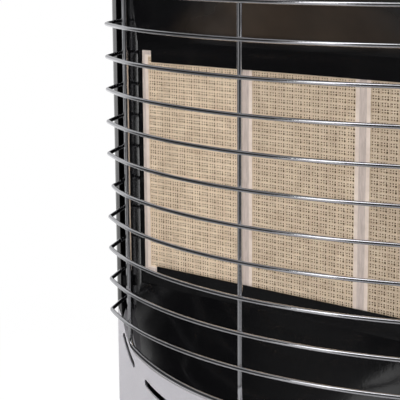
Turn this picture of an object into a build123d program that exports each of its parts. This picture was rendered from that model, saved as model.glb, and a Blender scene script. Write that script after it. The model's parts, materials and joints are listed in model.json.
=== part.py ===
from build123d import *
import os
from math import asin, atan2, cos, degrees, pi, radians, sin, sqrt, tan

# Three-plaque portable gas heater on castors: a bowed sheet-metal cabinet with a wire guard
# in front of three ceramic plaques, and room for a gas cylinder behind a lift-off cover.
# Millimetres. +X is right seen from the front, +Y is the rear, +Z is up.
# The origin is on the floor, in the middle of the heater's width and depth.

# ---------------------------------------------------------------- sheet metal and fits
SHEET = 1.2
SEAM_GAP = 0.4
BUTT_GAP = 0.2
MOVING_GAP = 0.3
RUNNING_FIT = 0.05

# ---------------------------------------------------------------- cabinet
CABINET_DEPTH = 370.5
FRONT_RADIUS = 300.0
FRONT_HALF_ANGLE = 28.0
CORNER_RADIUS = 22.0
REAR_CORNER_RADIUS = 8.0
REAR_RETURN = 22.0
SEAM_SETBACK = 100.0
SEAM_FLANGE = 12.0
BASE_HEIGHT = 60.0
SKIRT_DROP = 4.0
SHELL_TOP = 735.0
PAN_WALL = 24.0

# ---------------------------------------------------------------- front window
WINDOW_SIDE_MARGIN = 18.0
WINDOW_BOTTOM = 370.5
WINDOW_TOP = 722.0
WINDOW_CORNER = 35.0
WINDOW_FLANGE = 8.0
WING_FOOT = 15.5
WING_SETBACK = 58.0
WING_ANGLE = 52.0

# ---------------------------------------------------------------- air slots under the window
SLOT_WIDTH = 6.0
SLOT_DROP = 23.3
SLOT_BOW_RADIUS = 1200.0
SLOT_LENGTH = 76.0
SLOT_GAP = 28.0
SLOT_COUNT = 3
SLOT_BEND_RADIUS = 60.0
SLOT_BEND_START = 25.0
SLOT_BEND_END = 50.6

# ---------------------------------------------------------------- burner
PLAQUE_COUNT = 3
PLAQUE_WIDTH = 96.0
PLAQUE_HEIGHT = 165.5
PLAQUE_THICKNESS = 13.0
GASKET = 3.0
BURNER_RECESS = 50.0
BURNER_CENTRE_Z = 526.6
FASCIA_RIM = 4.0
FASCIA_HEADROOM = 13.0
UPPER_LIP_OVERLAP = 8.4
LOWER_LIP_OVERLAP = 5.1
LIP_HEIGHT = 15.5
UPPER_LIP_INSET = 10.2
LOWER_LIP_INSET = 13.5
SIDE_REFLECTOR_SPREAD = 37.0
REFLECTOR_SETBACK = 5.0
REFLECTOR_REAR_GAP = 1.6
PLENUM_DEPTH = 30.0
PLENUM_TAPER = 17.0
PLENUM_WALL = 1.0
PLENUM_SEAT = 7.0
SHIELD_SETBACK = 62.0
SHIELD_BOTTOM = 285.0
SHIELD_TOP = 690.0
SHIELD_FLANGE = 14.0

# ---------------------------------------------------------------- gas train
VENTURI_THROAT = 8.0
VENTURI_BORE = 11.0
VENTURI_MOUTH = 15.0
VENTURI_LENGTH = 130.0
MANIFOLD_RADIUS = 6.0
JET_RADIUS = 4.5
JET_HEIGHT = 12.0
JET_HEXAGON_RADIUS = 5.5
JET_AIR_GAP = 4.0
PIPE_RADIUS = 4.0
PIPE_BEND = 14.0
FEED_PIPE_GAP = 13.0
FEED_PIPE_BEND = 13.5
SUPPLY_PIPE_RUN = 50.0
SUPPLY_PIPE_DROP = 60.0
NOZZLE_RADIUS = 4.1
NOZZLE_LENGTH = 24.0

# ---------------------------------------------------------------- wire guard
GUARD_STANDOFF = 20.0
GUARD_WIRE = 3.0
GUARD_FRAME_WIRE = 3.5
GUARD_ROD = 4.0
GUARD_PITCH = 24.66
GUARD_WIRES = 12
GUARD_BOTTOM_GAP = 15.5
GUARD_HOOK_REACH = 22.5
GUARD_HOOK_RADIUS = 9.0
GUARD_UPRIGHT_INSET = 60.0
GUARD_FRAME_DROP = 4.3
GUARD_FRAME_SAG = 12.5
GUARD_FRAME_BEND = 14.0
GUARD_RAIL_STEPS = 4
GUARD_ROD_INSET = 3.5
GUARD_ROD_SETBACK = 4.5
GUARD_ROD_TRIM = 12.3
GUARD_CLIP_INSET = 37.0
GUARD_CLIP_HEIGHT = 8.0

# ---------------------------------------------------------------- top cover and controls
COVER_HEIGHT = 30.0
COVER_WALL = 2.5
COVER_EDGE_RADIUS = 9.0
COVER_SPIGOT = 9.0
PANEL_LENGTH = 142.0
PANEL_WIDTH = 66.0
PANEL_DEPTH = 12.0
PANEL_SIDE_MARGIN = 33.0
PANEL_REAR_SETBACK = 102.5
PANEL_CORNER = 12.0
KNOB_OFFSET = 32.0
KNOB_RADIUS = 22.0
KNOB_HEIGHT = 20.0
KNOB_SKIRT = 4.0
KNOB_CHAMFER = 1.5
KNOB_CROWN_RADIUS = 15.8
KNOB_CROWN_TAPER = 4.0
KNOB_GRIP_WIDTH = 10.5
KNOB_GRIP_FOOT = 4.0
KNOB_POINTER_START = 6.6
KNOB_POINTER_WIDTH = 1.6
KNOB_POINTER_DEPTH = 1.2
KNOB_BORE_DEPTH = 12.0
SPINDLE_RADIUS = 3.0
SPINDLE_CLEARANCE = 1.0
BUTTON_OFFSET = 36.0
BUTTON_RADIUS = 8.0
BUTTON_TRAVEL = 5.0
BUTTON_PROUD = 9.0
BUTTON_STEM_RADIUS = 4.5
BUTTON_DOME = 2.0
IGNITER_RADIUS = 10.0
IGNITER_LENGTH = 34.0
IGNITER_BORE = 10.0
TERMINAL_RADIUS = 3.0
TERMINAL_LENGTH = 6.0
VALVE_WIDTH = 44.0
VALVE_DEPTH = 34.0
VALVE_HEIGHT = 36.0
VALVE_CORNER = 6.0
VALVE_PORT_DROP = 21.6
PORT_LENGTH = 10.0
BRACKET_SHEET = 2.0
BRACKET_MARGIN = 4.0

# ---------------------------------------------------------------- pilot light
PILOT_SIDE_GAP = 9.0
PILOT_FORWARD = 7.5
PILOT_RAISE = 8.0
PILOT_RADIUS = 4.5
PILOT_HEIGHT = 26.0
PILOT_FOOT = 8.0
PROBE_SPACING = 8.0
PROBE_RADIUS = 1.6
PROBE_HEIGHT = 22.0

# ---------------------------------------------------------------- rear cover
COVER_PROUD = 8.0
REAR_COVER_MARGIN = 16.0
REAR_COVER_FOOT_GAP = 2.0
COVER_LOUVRE_INSET = 98.0
REAR_COVER_TOP = 664.0
REAR_COVER_LIFT = 14.0
REAR_COVER_EDGE = 4.0
RAIL_OVERLAP = 40.0
HOOK_WIDTH = 24.0
HOOK_DROP = 8.0
HOOK_SHEET = 2.0
HOOK_INSET = 82.0
HOOK_SEAT_GAP = 2.0
HOOK_SIDE_GAP = 1.0

# ---------------------------------------------------------------- hand holes and low air slots
HAND_HOLE_LENGTH = 96.0
HAND_HOLE_HEIGHT = 30.0
HAND_HOLE_DROP = 62.0
HAND_HOLE_LIP = 7.0
LOUVRE_COUNT = 5
LOUVRE_LENGTH = 90.0
LOUVRE_WIDTH = 7.0
LOUVRE_PITCH = 18.0
LOUVRE_FOOT = 46.0

# ---------------------------------------------------------------- castors
CASTOR_SIDE_INSET = 48.0
CASTOR_FRONT_INSET = 94.0
CASTOR_REAR_INSET = 38.5
WHEEL_RADIUS = 20.0
WHEEL_WIDTH = 17.0
WHEEL_DISH = 4.0
WHEEL_CROWN = 1.5
WHEEL_GAP = 1.0
AXLE_RADIUS = 3.0
WHEEL_TOP_GAP = 2.0
FORK_WALL = 2.5
FORK_BOSS = 8.0
FORK_HEAD = 10.0
HEAD_RADIUS = 14.0
CASTOR_TRAIL = 13.0
STEM_RADIUS = 5.0
STEM_LENGTH = 14.0
SOCKET_WALL = 3.0

# ---------------------------------------------------------------- fasteners
SCREW_HEAD_RADIUS = 3.5
SCREW_HEAD_HEIGHT = 2.0
SCREW_INSET = 24.0

# ---------------------------------------------------------------- places worked out from the sizes
OVERALL_DEPTH = GUARD_STANDOFF + GUARD_WIRE / 2 + CABINET_DEPTH + COVER_PROUD
FRONT_Y = GUARD_STANDOFF + GUARD_WIRE / 2 - OVERALL_DEPTH / 2
REAR_Y = FRONT_Y + CABINET_DEPTH
BOW_CENTRE_Y = FRONT_Y + FRONT_RADIUS
SEAM_Y = FRONT_Y + SEAM_SETBACK
SHELL_BOTTOM = BASE_HEIGHT - SKIRT_DROP
FRONT_SLOPE = radians(FRONT_HALF_ANGLE)


def cheek_y(x, inset=0.0):
    """Depth of the flat slope beside the bow, or of one set inside it."""
    bow = FRONT_RADIUS - inset
    return BOW_CENTRE_Y - bow * cos(FRONT_SLOPE) + (x - bow * sin(FRONT_SLOPE)) * tan(FRONT_SLOPE)


BURNER_Y = FRONT_Y + BURNER_RECESS
PLAQUE_PITCH = PLAQUE_WIDTH + 2 * GASKET
BURNER_HALF_WIDTH = PLAQUE_COUNT * PLAQUE_PITCH / 2
BURNER_HALF_HEIGHT = PLAQUE_HEIGHT / 2 + GASKET
FASCIA_HALF_WIDTH = BURNER_HALF_WIDTH + FASCIA_RIM
FASCIA_HALF_HEIGHT = BURNER_HALF_HEIGHT + FASCIA_HEADROOM
WINDOW_WIDTH = 2 * (FASCIA_HALF_WIDTH + SIDE_REFLECTOR_SPREAD)
CABINET_WIDTH = WINDOW_WIDTH + 2 * WINDOW_SIDE_MARGIN
SHIELD_Y = BURNER_Y + SHIELD_SETBACK
UPPER_LIP_Z = BURNER_CENTRE_Z + BURNER_HALF_HEIGHT - UPPER_LIP_OVERLAP
LOWER_LIP_Z = BURNER_CENTRE_Z - BURNER_HALF_HEIGHT + LOWER_LIP_OVERLAP
PLENUM_Y = BURNER_Y + PLAQUE_THICKNESS
VENTURI_Y = PLENUM_Y + PLENUM_DEPTH / 2
VENTURI_TOP = BURNER_CENTRE_Z - BURNER_HALF_HEIGHT + PLENUM_TAPER
VENTURI_FOOT = VENTURI_TOP - VENTURI_LENGTH
MANIFOLD_Z = VENTURI_FOOT - JET_AIR_GAP - JET_HEIGHT - MANIFOLD_RADIUS

GUARD_RADIUS = FRONT_RADIUS + GUARD_STANDOFF
GUARD_BOTTOM_Z = WINDOW_BOTTOM + GUARD_BOTTOM_GAP
GUARD_TOP_Z = GUARD_BOTTOM_Z + (GUARD_WIRES + 1) * GUARD_PITCH
UPRIGHT_RADIUS = GUARD_RADIUS - (GUARD_WIRE + GUARD_FRAME_WIRE) / 2
GUARD_ROD_X = WINDOW_WIDTH / 2 - GUARD_ROD_INSET
GUARD_ROD_Y = cheek_y(WINDOW_WIDTH / 2) + GUARD_ROD_SETBACK
GUARD_BOW_HALF_WIDTH = GUARD_ROD_X - GUARD_HOOK_REACH
GUARD_UPRIGHT_X = WINDOW_WIDTH / 2 - GUARD_UPRIGHT_INSET

TOP_Z = SHELL_TOP + COVER_HEIGHT
PANEL_X = CABINET_WIDTH / 2 - PANEL_SIDE_MARGIN - PANEL_LENGTH / 2
PANEL_Y = REAR_Y - PANEL_REAR_SETBACK
KNOB_X = PANEL_X + KNOB_OFFSET
BUTTON_X = PANEL_X - BUTTON_OFFSET
PANEL_FLOOR_Z = TOP_Z - PANEL_DEPTH
PANEL_UNDERSIDE_Z = PANEL_FLOOR_Z - COVER_WALL
VALVE_TOP_Z = PANEL_UNDERSIDE_Z - BRACKET_SHEET
VALVE_PORT_Z = VALVE_TOP_Z - VALVE_PORT_DROP
FEED_PIPE_X = FASCIA_HALF_WIDTH + FEED_PIPE_GAP
FEED_START_Y = PANEL_Y - VALVE_DEPTH / 2 - PORT_LENGTH
SUPPLY_START_Y = PANEL_Y + VALVE_DEPTH / 2 + PORT_LENGTH
HAND_HOLE_Y = (SEAM_Y + REAR_Y) / 2
HAND_HOLE_Z = SHELL_TOP - HAND_HOLE_DROP
SEAM_BOTTOM = BASE_HEIGHT + PAN_WALL + BUTT_GAP
SEAM_TOP = SHELL_TOP - COVER_SPIGOT - BUTT_GAP

REAR_COVER_WIDTH = CABINET_WIDTH - 2 * REAR_COVER_MARGIN
REAR_COVER_BOTTOM = SHELL_BOTTOM + REAR_COVER_FOOT_GAP
RAIL_BOTTOM = REAR_COVER_TOP - RAIL_OVERLAP
HOOK_X = REAR_COVER_WIDTH / 2 - HOOK_INSET
HOOK_SEAT_Z = RAIL_BOTTOM + SHEET + HOOK_DROP + HOOK_SEAT_GAP
PILOT_X = BURNER_HALF_WIDTH + PILOT_SIDE_GAP
PILOT_Y = BURNER_Y - PILOT_FORWARD
PILOT_Z = LOWER_LIP_Z + PILOT_RAISE
REFLECTOR_OUTER_X = WINDOW_WIDTH / 2 - 3 * BUTT_GAP
REFLECTOR_INNER_X = FASCIA_HALF_WIDTH + BUTT_GAP
REFLECTOR_OUTER_Y = cheek_y(REFLECTOR_OUTER_X) + WINDOW_FLANGE + REFLECTOR_REAR_GAP
CASTOR_X = CABINET_WIDTH / 2 - CASTOR_SIDE_INSET
CASTOR_FRONT_Y = FRONT_Y + CASTOR_FRONT_INSET
CASTOR_REAR_Y = REAR_Y - CASTOR_REAR_INSET
CASTOR_PLACES = {
    "front_left": (-CASTOR_X, CASTOR_FRONT_Y),
    "front_right": (CASTOR_X, CASTOR_FRONT_Y),
    "rear_left": (-CASTOR_X, CASTOR_REAR_Y),
    "rear_right": (CASTOR_X, CASTOR_REAR_Y),
}
SIDES = {"left": -1, "right": 1}
SCREW_Z = BASE_HEIGHT + PAN_WALL / 2


# ---------------------------------------------------------------- drawing helpers
def along_y(drawing, front, back):
    """A drawing in X and Z, pushed from one Y to another."""
    return extrude(Plane.XZ.offset(-back) * drawing, back - front)


def along_x(drawing, left, right):
    """A drawing in Y and Z, pushed from one X to another."""
    return extrude(Plane.YZ.offset(left) * drawing, right - left)


def block(x_range, y_range, z_range):
    """A box between two corners."""
    size = [high - low for low, high in (x_range, y_range, z_range)]
    middle = [(high + low) / 2 for low, high in (x_range, y_range, z_range)]
    return Pos(*middle) * Box(*size)


def post(x, y, bottom, top, radius):
    """An upright cylinder."""
    return Pos(x, y, (bottom + top) / 2) * Cylinder(radius, top - bottom)


def rod_along_y(x, z, front, back, radius):
    """A cylinder lying front to back."""
    return Pos(x, (front + back) / 2, z) * Rot(90, 0, 0) * Cylinder(radius, back - front)


def rod_along_x(y, z, left, right, radius):
    """A cylinder lying left to right."""
    return Pos((left + right) / 2, y, z) * Rot(0, 90, 0) * Cylinder(radius, right - left)


def plan_face(inset=0.0):
    """The cabinet's plan: bowed front, slanted cheeks, rounded corners, square back."""
    bow = FRONT_RADIUS - inset
    bow_x = bow * sin(FRONT_SLOPE)
    bow_y = BOW_CENTRE_Y - bow * cos(FRONT_SLOPE)
    side_x = CABINET_WIDTH / 2 - inset
    side_y = cheek_y(side_x, inset)
    back_y = REAR_Y - inset
    front = ThreePointArc((-bow_x, bow_y), (0, BOW_CENTRE_Y - bow), (bow_x, bow_y))
    rest = Polyline(
        (bow_x, bow_y), (side_x, side_y), (side_x, back_y),
        (-side_x, back_y), (-side_x, side_y), (-bow_x, bow_y),
    )
    face = make_face(front + rest)
    cheeks = [v for v in face.vertices() if abs(abs(v.X) - side_x) < 0.01 and v.Y < 0]
    face = fillet(cheeks, max(CORNER_RADIUS - inset, 0.5))
    backs = [v for v in face.vertices() if abs(v.Y - back_y) < 0.01]
    return fillet(backs, max(REAR_CORNER_RADIUS - inset, 0.5))


def plan_prism(inset, bottom, top):
    return extrude(Pos(0, 0, bottom) * plan_face(inset), top - bottom)


def plan_band(inset, depth, bottom, top):
    """A wall that follows the cabinet's plan, from one inset to a deeper one."""
    return plan_prism(inset, bottom, top) - plan_prism(inset + depth, bottom, top)


# ---------------------------------------------------------------- cabinet panels
def window_drawing(grow=0.0):
    height = WINDOW_TOP - WINDOW_BOTTOM + 2 * grow
    width = WINDOW_WIDTH + 2 * grow
    middle = (WINDOW_TOP + WINDOW_BOTTOM) / 2
    return Pos(0, middle) * RectangleRounded(width, height, WINDOW_CORNER + grow)


def window_cut():
    return along_y(window_drawing(), FRONT_Y - SHEET, SEAM_Y - SEAM_FLANGE)


def window_flange():
    """The edge of the window, turned back into the cabinet."""
    ring = window_drawing(SHEET) - window_drawing()
    pushed = along_y(ring, FRONT_Y - SHEET, SEAM_Y - SEAM_FLANGE)
    return pushed & plan_band(0, WINDOW_FLANGE, SHELL_BOTTOM, SHELL_TOP)


def below_wing_line(shift):
    """Everything under the line where the silver wings meet the black surround."""
    foot_y = FRONT_Y + WING_SETBACK
    foot_z = WINDOW_BOTTOM + WING_FOOT + shift
    end_z = foot_z + (SEAM_Y - foot_y) * tan(radians(WING_ANGLE))
    front = FRONT_Y - SHEET
    side = Polyline(
        (front, 0), (SEAM_Y, 0), (SEAM_Y, end_z), (foot_y, foot_z), (front, foot_z), close=True
    )
    return along_x(make_face(side), -CABINET_WIDTH, CABINET_WIDTH)


def front_skin(bottom, top):
    """The bowed front and its wrapped corners, with the seam's inward flanges."""
    front_zone = block(
        (-CABINET_WIDTH, CABINET_WIDTH), (FRONT_Y - SHEET, SEAM_Y - SEAM_GAP), (bottom, top)
    )
    flange_zone = block(
        (-CABINET_WIDTH, CABINET_WIDTH),
        (SEAM_Y - SEAM_GAP - SHEET, SEAM_Y - SEAM_GAP),
        (max(bottom, SEAM_BOTTOM), min(top, SEAM_TOP)),
    )
    skin = plan_band(0, SHEET, bottom, top) & front_zone
    flange = plan_band(0, SEAM_FLANGE, bottom, top) & flange_zone
    return skin + flange


def slot_drawing():
    """Gently bowed slots under the window, and one at each end that climbs round the corner."""
    centre = (0, WINDOW_BOTTOM - SLOT_DROP + SLOT_BOW_RADIUS)
    pitch = degrees((SLOT_LENGTH + SLOT_GAP) / SLOT_BOW_RADIUS)
    sweep_angle = degrees((SLOT_LENGTH - SLOT_WIDTH) / SLOT_BOW_RADIUS)
    slots = []
    for number in range(SLOT_COUNT):
        middle = -90 + (number - (SLOT_COUNT - 1) / 2) * pitch
        path = CenterArc(centre, SLOT_BOW_RADIUS, middle - sweep_angle / 2, sweep_angle)
        slots.append(SlotArc(path, SLOT_WIDTH))
    bend_x = (SLOT_COUNT * SLOT_LENGTH + (SLOT_COUNT - 1) * SLOT_GAP) / 2
    bend_z = centre[1] - sqrt(SLOT_BOW_RADIUS**2 - bend_x**2) + SLOT_BEND_RADIUS
    for side in SIDES.values():
        start = -90 + side * SLOT_BEND_START
        sweep_angle = side * (SLOT_BEND_END - SLOT_BEND_START)
        path = CenterArc((side * bend_x, bend_z), SLOT_BEND_RADIUS, start, sweep_angle)
        slots.append(SlotArc(path, SLOT_WIDTH))
    return slots


def lower_front_panel():
    panel = (front_skin(SHELL_BOTTOM, SHELL_TOP) & below_wing_line(0)) - window_cut()
    panel += window_flange() & below_wing_line(0)
    for slot in slot_drawing():
        panel -= along_y(slot, FRONT_Y - SHEET, SEAM_Y - SEAM_FLANGE)
    return panel


def upper_front_surround():
    surround = front_skin(WINDOW_BOTTOM, SHELL_TOP) - below_wing_line(SEAM_GAP)
    surround -= window_cut()
    return surround + (window_flange() - below_wing_line(SEAM_GAP))


def side_panel(side):
    """Flat side with a seam flange, a rear return, a lipped hand hole and low air slots."""
    reach = CABINET_WIDTH / 2
    inner = reach - REAR_RETURN
    zone_x = sorted((side * inner, side * (reach + SHEET)))
    skin = plan_band(0, SHEET, SHELL_BOTTOM, SHELL_TOP)
    skin &= block(zone_x, (SEAM_Y, REAR_Y + SHEET), (SHELL_BOTTOM, SHELL_TOP))
    flange = plan_band(0, SEAM_FLANGE, SEAM_BOTTOM, SEAM_TOP)
    flange &= block(zone_x, (SEAM_Y, SEAM_Y + SHEET), (SEAM_BOTTOM, SEAM_TOP))
    panel = skin + flange
    hole = Pos(HAND_HOLE_Y, HAND_HOLE_Z) * SlotOverall(HAND_HOLE_LENGTH, HAND_HOLE_HEIGHT)
    rim = offset(hole, SHEET)
    lip_x = sorted((side * reach, side * (reach - HAND_HOLE_LIP)))
    panel += along_x(rim, *lip_x)
    panel -= along_x(hole, *zone_x)
    for number in range(LOUVRE_COUNT):
        z = SHELL_BOTTOM + LOUVRE_FOOT + number * LOUVRE_PITCH
        slot = Pos(HAND_HOLE_Y, z) * SlotOverall(LOUVRE_LENGTH, LOUVRE_WIDTH)
        panel -= along_x(slot, *zone_x)
    return panel


def base_pan():
    """Tray that carries the cylinder, with a castor socket near each corner."""
    inset = SHEET + BUTT_GAP
    pan = plan_prism(inset, BASE_HEIGHT, BASE_HEIGHT + PAN_WALL)
    pan -= plan_prism(inset + SHEET, BASE_HEIGHT + SHEET, BASE_HEIGHT + PAN_WALL)
    for x, y in CASTOR_PLACES.values():
        bore = STEM_RADIUS + RUNNING_FIT
        bore_top = BASE_HEIGHT + STEM_LENGTH + MOVING_GAP
        pan += post(x, y, BASE_HEIGHT, bore_top + SHEET, bore + SOCKET_WALL)
        pan -= post(x, y, BASE_HEIGHT, bore_top, bore)
    return pan


def rear_rail():
    """Cross rail over the rear opening, with a forward shelf and slots for the cover's hooks."""
    half = CABINET_WIDTH / 2 - REAR_RETURN - BUTT_GAP
    rail = block((-half, half), (REAR_Y - SHEET, REAR_Y), (RAIL_BOTTOM, SHELL_TOP))
    rail += block(
        (-half, half), (REAR_Y - SEAM_FLANGE, REAR_Y), (RAIL_BOTTOM, RAIL_BOTTOM + SHEET)
    )
    for side in SIDES.values():
        tab_end = CABINET_WIDTH / 2 - REAR_CORNER_RADIUS
        tab_x = sorted((side * (half - SEAM_FLANGE), side * tab_end))
        tab_z = (RAIL_BOTTOM + SEAM_FLANGE, SHELL_TOP - SEAM_FLANGE)
        rail += block(tab_x, (REAR_Y - 2 * SHEET, REAR_Y - SHEET), tab_z)
        slot_half = HOOK_WIDTH / 2 + HOOK_SIDE_GAP
        slot_x = (side * HOOK_X - slot_half, side * HOOK_X + slot_half)
        slot_top = HOOK_SEAT_Z + HOOK_SHEET + REAR_COVER_LIFT + 2 * MOVING_GAP
        rail -= block(slot_x, (REAR_Y - SHEET, REAR_Y), (HOOK_SEAT_Z - MOVING_GAP, slot_top))
    return rail


def cover_hook(side):
    """A leg through the rail's slot and a tongue that hangs down behind it."""
    x_range = (side * HOOK_X - HOOK_WIDTH / 2, side * HOOK_X + HOOK_WIDTH / 2)
    tongue_back = REAR_Y - SHEET - MOVING_GAP
    leg_y = (tongue_back - HOOK_SHEET, REAR_Y + COVER_PROUD - SHEET)
    leg = block(x_range, leg_y, (HOOK_SEAT_Z, HOOK_SEAT_Z + HOOK_SHEET))
    tongue_z = (HOOK_SEAT_Z - HOOK_DROP, HOOK_SEAT_Z)
    return leg + block(x_range, (tongue_back - HOOK_SHEET, tongue_back), tongue_z)


# ---------------------------------------------------------------- rear cover
def rear_cover():
    """Shallow tray with a turned-in rim, pressed louvre slots and two hooks at the top."""
    half = REAR_COVER_WIDTH / 2
    front = REAR_Y + MOVING_GAP
    back = REAR_Y + COVER_PROUD
    height = REAR_COVER_TOP - REAR_COVER_BOTTOM
    middle = (REAR_COVER_TOP + REAR_COVER_BOTTOM) / 2
    outline = Pos(0, middle) * RectangleRounded(2 * half, height, REAR_CORNER_RADIUS)
    tray = along_y(outline, front, back)
    tray = fillet(tray.faces().sort_by(Axis.Y)[-1].outer_wire().edges(), REAR_COVER_EDGE)
    inner = Pos(0, middle) * RectangleRounded(
        2 * (half - SHEET), height - 2 * SHEET, REAR_CORNER_RADIUS - SHEET
    )
    tray -= along_y(inner, front, back - SHEET)
    for side in SIDES.values():
        tray += cover_hook(side)
    for column in (-1, 1):
        for row in range(LOUVRE_COUNT):
            x = column * (half - COVER_LOUVRE_INSET)
            low = REAR_COVER_BOTTOM + LOUVRE_FOOT + row * LOUVRE_PITCH
            high = REAR_COVER_TOP - LOUVRE_FOOT - row * LOUVRE_PITCH
            for z in (low, high):
                slot = Pos(x, z) * SlotOverall(LOUVRE_LENGTH, LOUVRE_WIDTH)
                tray -= along_y(slot, back - 2 * SHEET, back)
    return tray


# ---------------------------------------------------------------- burner
def burner_x(number):
    return (number - (PLAQUE_COUNT - 1) / 2) * PLAQUE_PITCH


def centred_frame(outer_w, outer_h, inner_w, inner_h):
    frame = Rectangle(outer_w, outer_h) - Rectangle(inner_w, inner_h)
    return Pos(0, BURNER_CENTRE_Z) * frame


def ceramic_plaque(number):
    plate = Pos(burner_x(number), BURNER_CENTRE_Z) * Rectangle(PLAQUE_WIDTH, PLAQUE_HEIGHT)
    return along_y(plate, BURNER_Y, BURNER_Y + PLAQUE_THICKNESS)


def plaque_gasket(number):
    ring = centred_frame(
        PLAQUE_PITCH, PLAQUE_HEIGHT + 2 * GASKET, PLAQUE_WIDTH, PLAQUE_HEIGHT
    )
    return along_y(Pos(burner_x(number), 0) * ring, BURNER_Y, BURNER_Y + PLAQUE_THICKNESS)


def plenum_form(x, shrink):
    """Tapered box behind a plaque, as a solid, made smaller all round by shrink."""
    width = PLAQUE_PITCH - 2 * BUTT_GAP - 2 * shrink
    height = PLAQUE_HEIGHT + 2 * GASKET - 2 * shrink
    mouth = Pos(x, BURNER_CENTRE_Z) * Rectangle(width, height)
    back = Pos(x, BURNER_CENTRE_Z) * Rectangle(width - 2 * PLENUM_TAPER, height - 2 * PLENUM_TAPER)
    front_plane = Plane.XZ.offset(-PLENUM_Y)
    back_plane = Plane.XZ.offset(-(PLENUM_Y + PLENUM_DEPTH - shrink))
    return loft([front_plane * mouth, back_plane * back], ruled=True)


def burner_plenum(number):
    """Tapered mixing box with a seat for the plaque and a hole for the venturi tube."""
    x = burner_x(number)
    box = plenum_form(x, 0) - plenum_form(x, PLENUM_WALL)
    seat = centred_frame(
        PLAQUE_PITCH - 2 * BUTT_GAP,
        PLAQUE_HEIGHT + 2 * GASKET,
        PLAQUE_WIDTH - 2 * PLENUM_SEAT,
        PLAQUE_HEIGHT - 2 * PLENUM_SEAT,
    )
    seat = along_y(Pos(x, 0) * seat, PLENUM_Y, PLENUM_Y + PLENUM_WALL)
    box += seat & plenum_form(x, 0)
    return box - post(x, VENTURI_Y, VENTURI_FOOT, VENTURI_TOP + PLENUM_TAPER, VENTURI_BORE)


def venturi_tube(number):
    """Mixing tube: bell mouth, throat and slow taper, cut to sit on the plenum's slope."""
    x = burner_x(number)
    wall = PLENUM_WALL
    bore = Polyline(
        (VENTURI_MOUTH, VENTURI_FOOT),
        (VENTURI_THROAT, VENTURI_FOOT + VENTURI_MOUTH),
        (VENTURI_BORE, VENTURI_FOOT + VENTURI_LENGTH / 2),
        (VENTURI_BORE, VENTURI_TOP),
        (VENTURI_BORE + wall, VENTURI_TOP),
        (VENTURI_BORE + wall, VENTURI_FOOT + VENTURI_LENGTH / 2),
        (VENTURI_THROAT + wall, VENTURI_FOOT + VENTURI_MOUTH),
        (VENTURI_MOUTH + wall, VENTURI_FOOT),
        close=True,
    )
    tube = revolve(Plane.XZ * make_face(bore), Axis.Z)
    return Pos(x, VENTURI_Y, 0) * tube - plenum_form(x, 0)


def burner_fascia():
    """Plate round the plaques, with sides turned back to the heat shield."""
    opening_w = 2 * BURNER_HALF_WIDTH + 2 * BUTT_GAP
    opening_h = 2 * BURNER_HALF_HEIGHT + 2 * BUTT_GAP
    plate = centred_frame(2 * FASCIA_HALF_WIDTH, 2 * FASCIA_HALF_HEIGHT, opening_w, opening_h)
    fascia = along_y(plate, BURNER_Y, BURNER_Y + SHEET)
    for side in SIDES.values():
        wall_x = sorted((side * (FASCIA_HALF_WIDTH - SHEET), side * FASCIA_HALF_WIDTH))
        wall_z = (BURNER_CENTRE_Z - FASCIA_HALF_HEIGHT, BURNER_CENTRE_Z + FASCIA_HALF_HEIGHT)
        fascia += block(wall_x, (BURNER_Y, SHIELD_Y), wall_z)
    return fascia


def heat_shield():
    """Sheet between the burners and the cylinder, with flanges against the side panels."""
    half = CABINET_WIDTH / 2 - SHEET
    shield = block((-half, half), (SHIELD_Y, SHIELD_Y + SHEET), (SHIELD_BOTTOM, SHIELD_TOP))
    for side in SIDES.values():
        flange_x = sorted((side * (half - SHEET), side * half))
        shield += block(flange_x, (SHIELD_Y, SHIELD_Y + SHIELD_FLANGE), (SHIELD_BOTTOM, SHIELD_TOP))
    shelf = block(
        (-half, half), (SHIELD_Y, SHIELD_Y + SHIELD_FLANGE), (SHIELD_TOP - SHEET, SHIELD_TOP)
    )
    return shield + shelf


# ---------------------------------------------------------------- reflectors
def reflector(sign):
    """Sheet that flares from the burner's straight edge to the bowed edge of the window."""
    lip_z = UPPER_LIP_Z if sign > 0 else LOWER_LIP_Z
    lip_inset = UPPER_LIP_INSET if sign > 0 else LOWER_LIP_INSET
    window_z = WINDOW_TOP if sign > 0 else WINDOW_BOTTOM
    root_z = lip_z + sign * LIP_HEIGHT
    edge_z = window_z - sign * BUTT_GAP
    root = Pos(0, BURNER_Y - SHEET / 2, root_z) * Rectangle(2 * FASCIA_HALF_WIDTH, SHEET)
    apex_y = FRONT_Y + SHEET + REFLECTOR_SETBACK
    ends_y = REFLECTOR_OUTER_Y
    outer = ThreePointArc(
        (-REFLECTOR_OUTER_X, ends_y - SHEET), (0, apex_y), (REFLECTOR_OUTER_X, ends_y - SHEET)
    )
    inner = ThreePointArc(
        (REFLECTOR_OUTER_X, ends_y), (0, apex_y + SHEET), (-REFLECTOR_OUTER_X, ends_y)
    )
    ends = Line(outer @ 1, inner @ 0) + Line(inner @ 1, outer @ 0)
    edge = Pos(0, 0, edge_z) * make_face(outer + inner + ends)
    sheet = loft([root, edge], ruled=True)
    sheet &= along_y(window_drawing(-BUTT_GAP), FRONT_Y, BURNER_Y + WINDOW_WIDTH)
    lip_half = BURNER_HALF_WIDTH - lip_inset
    lip_range = sorted((lip_z, root_z))
    return sheet + block((-lip_half, lip_half), (BURNER_Y - SHEET, BURNER_Y), lip_range)


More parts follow.
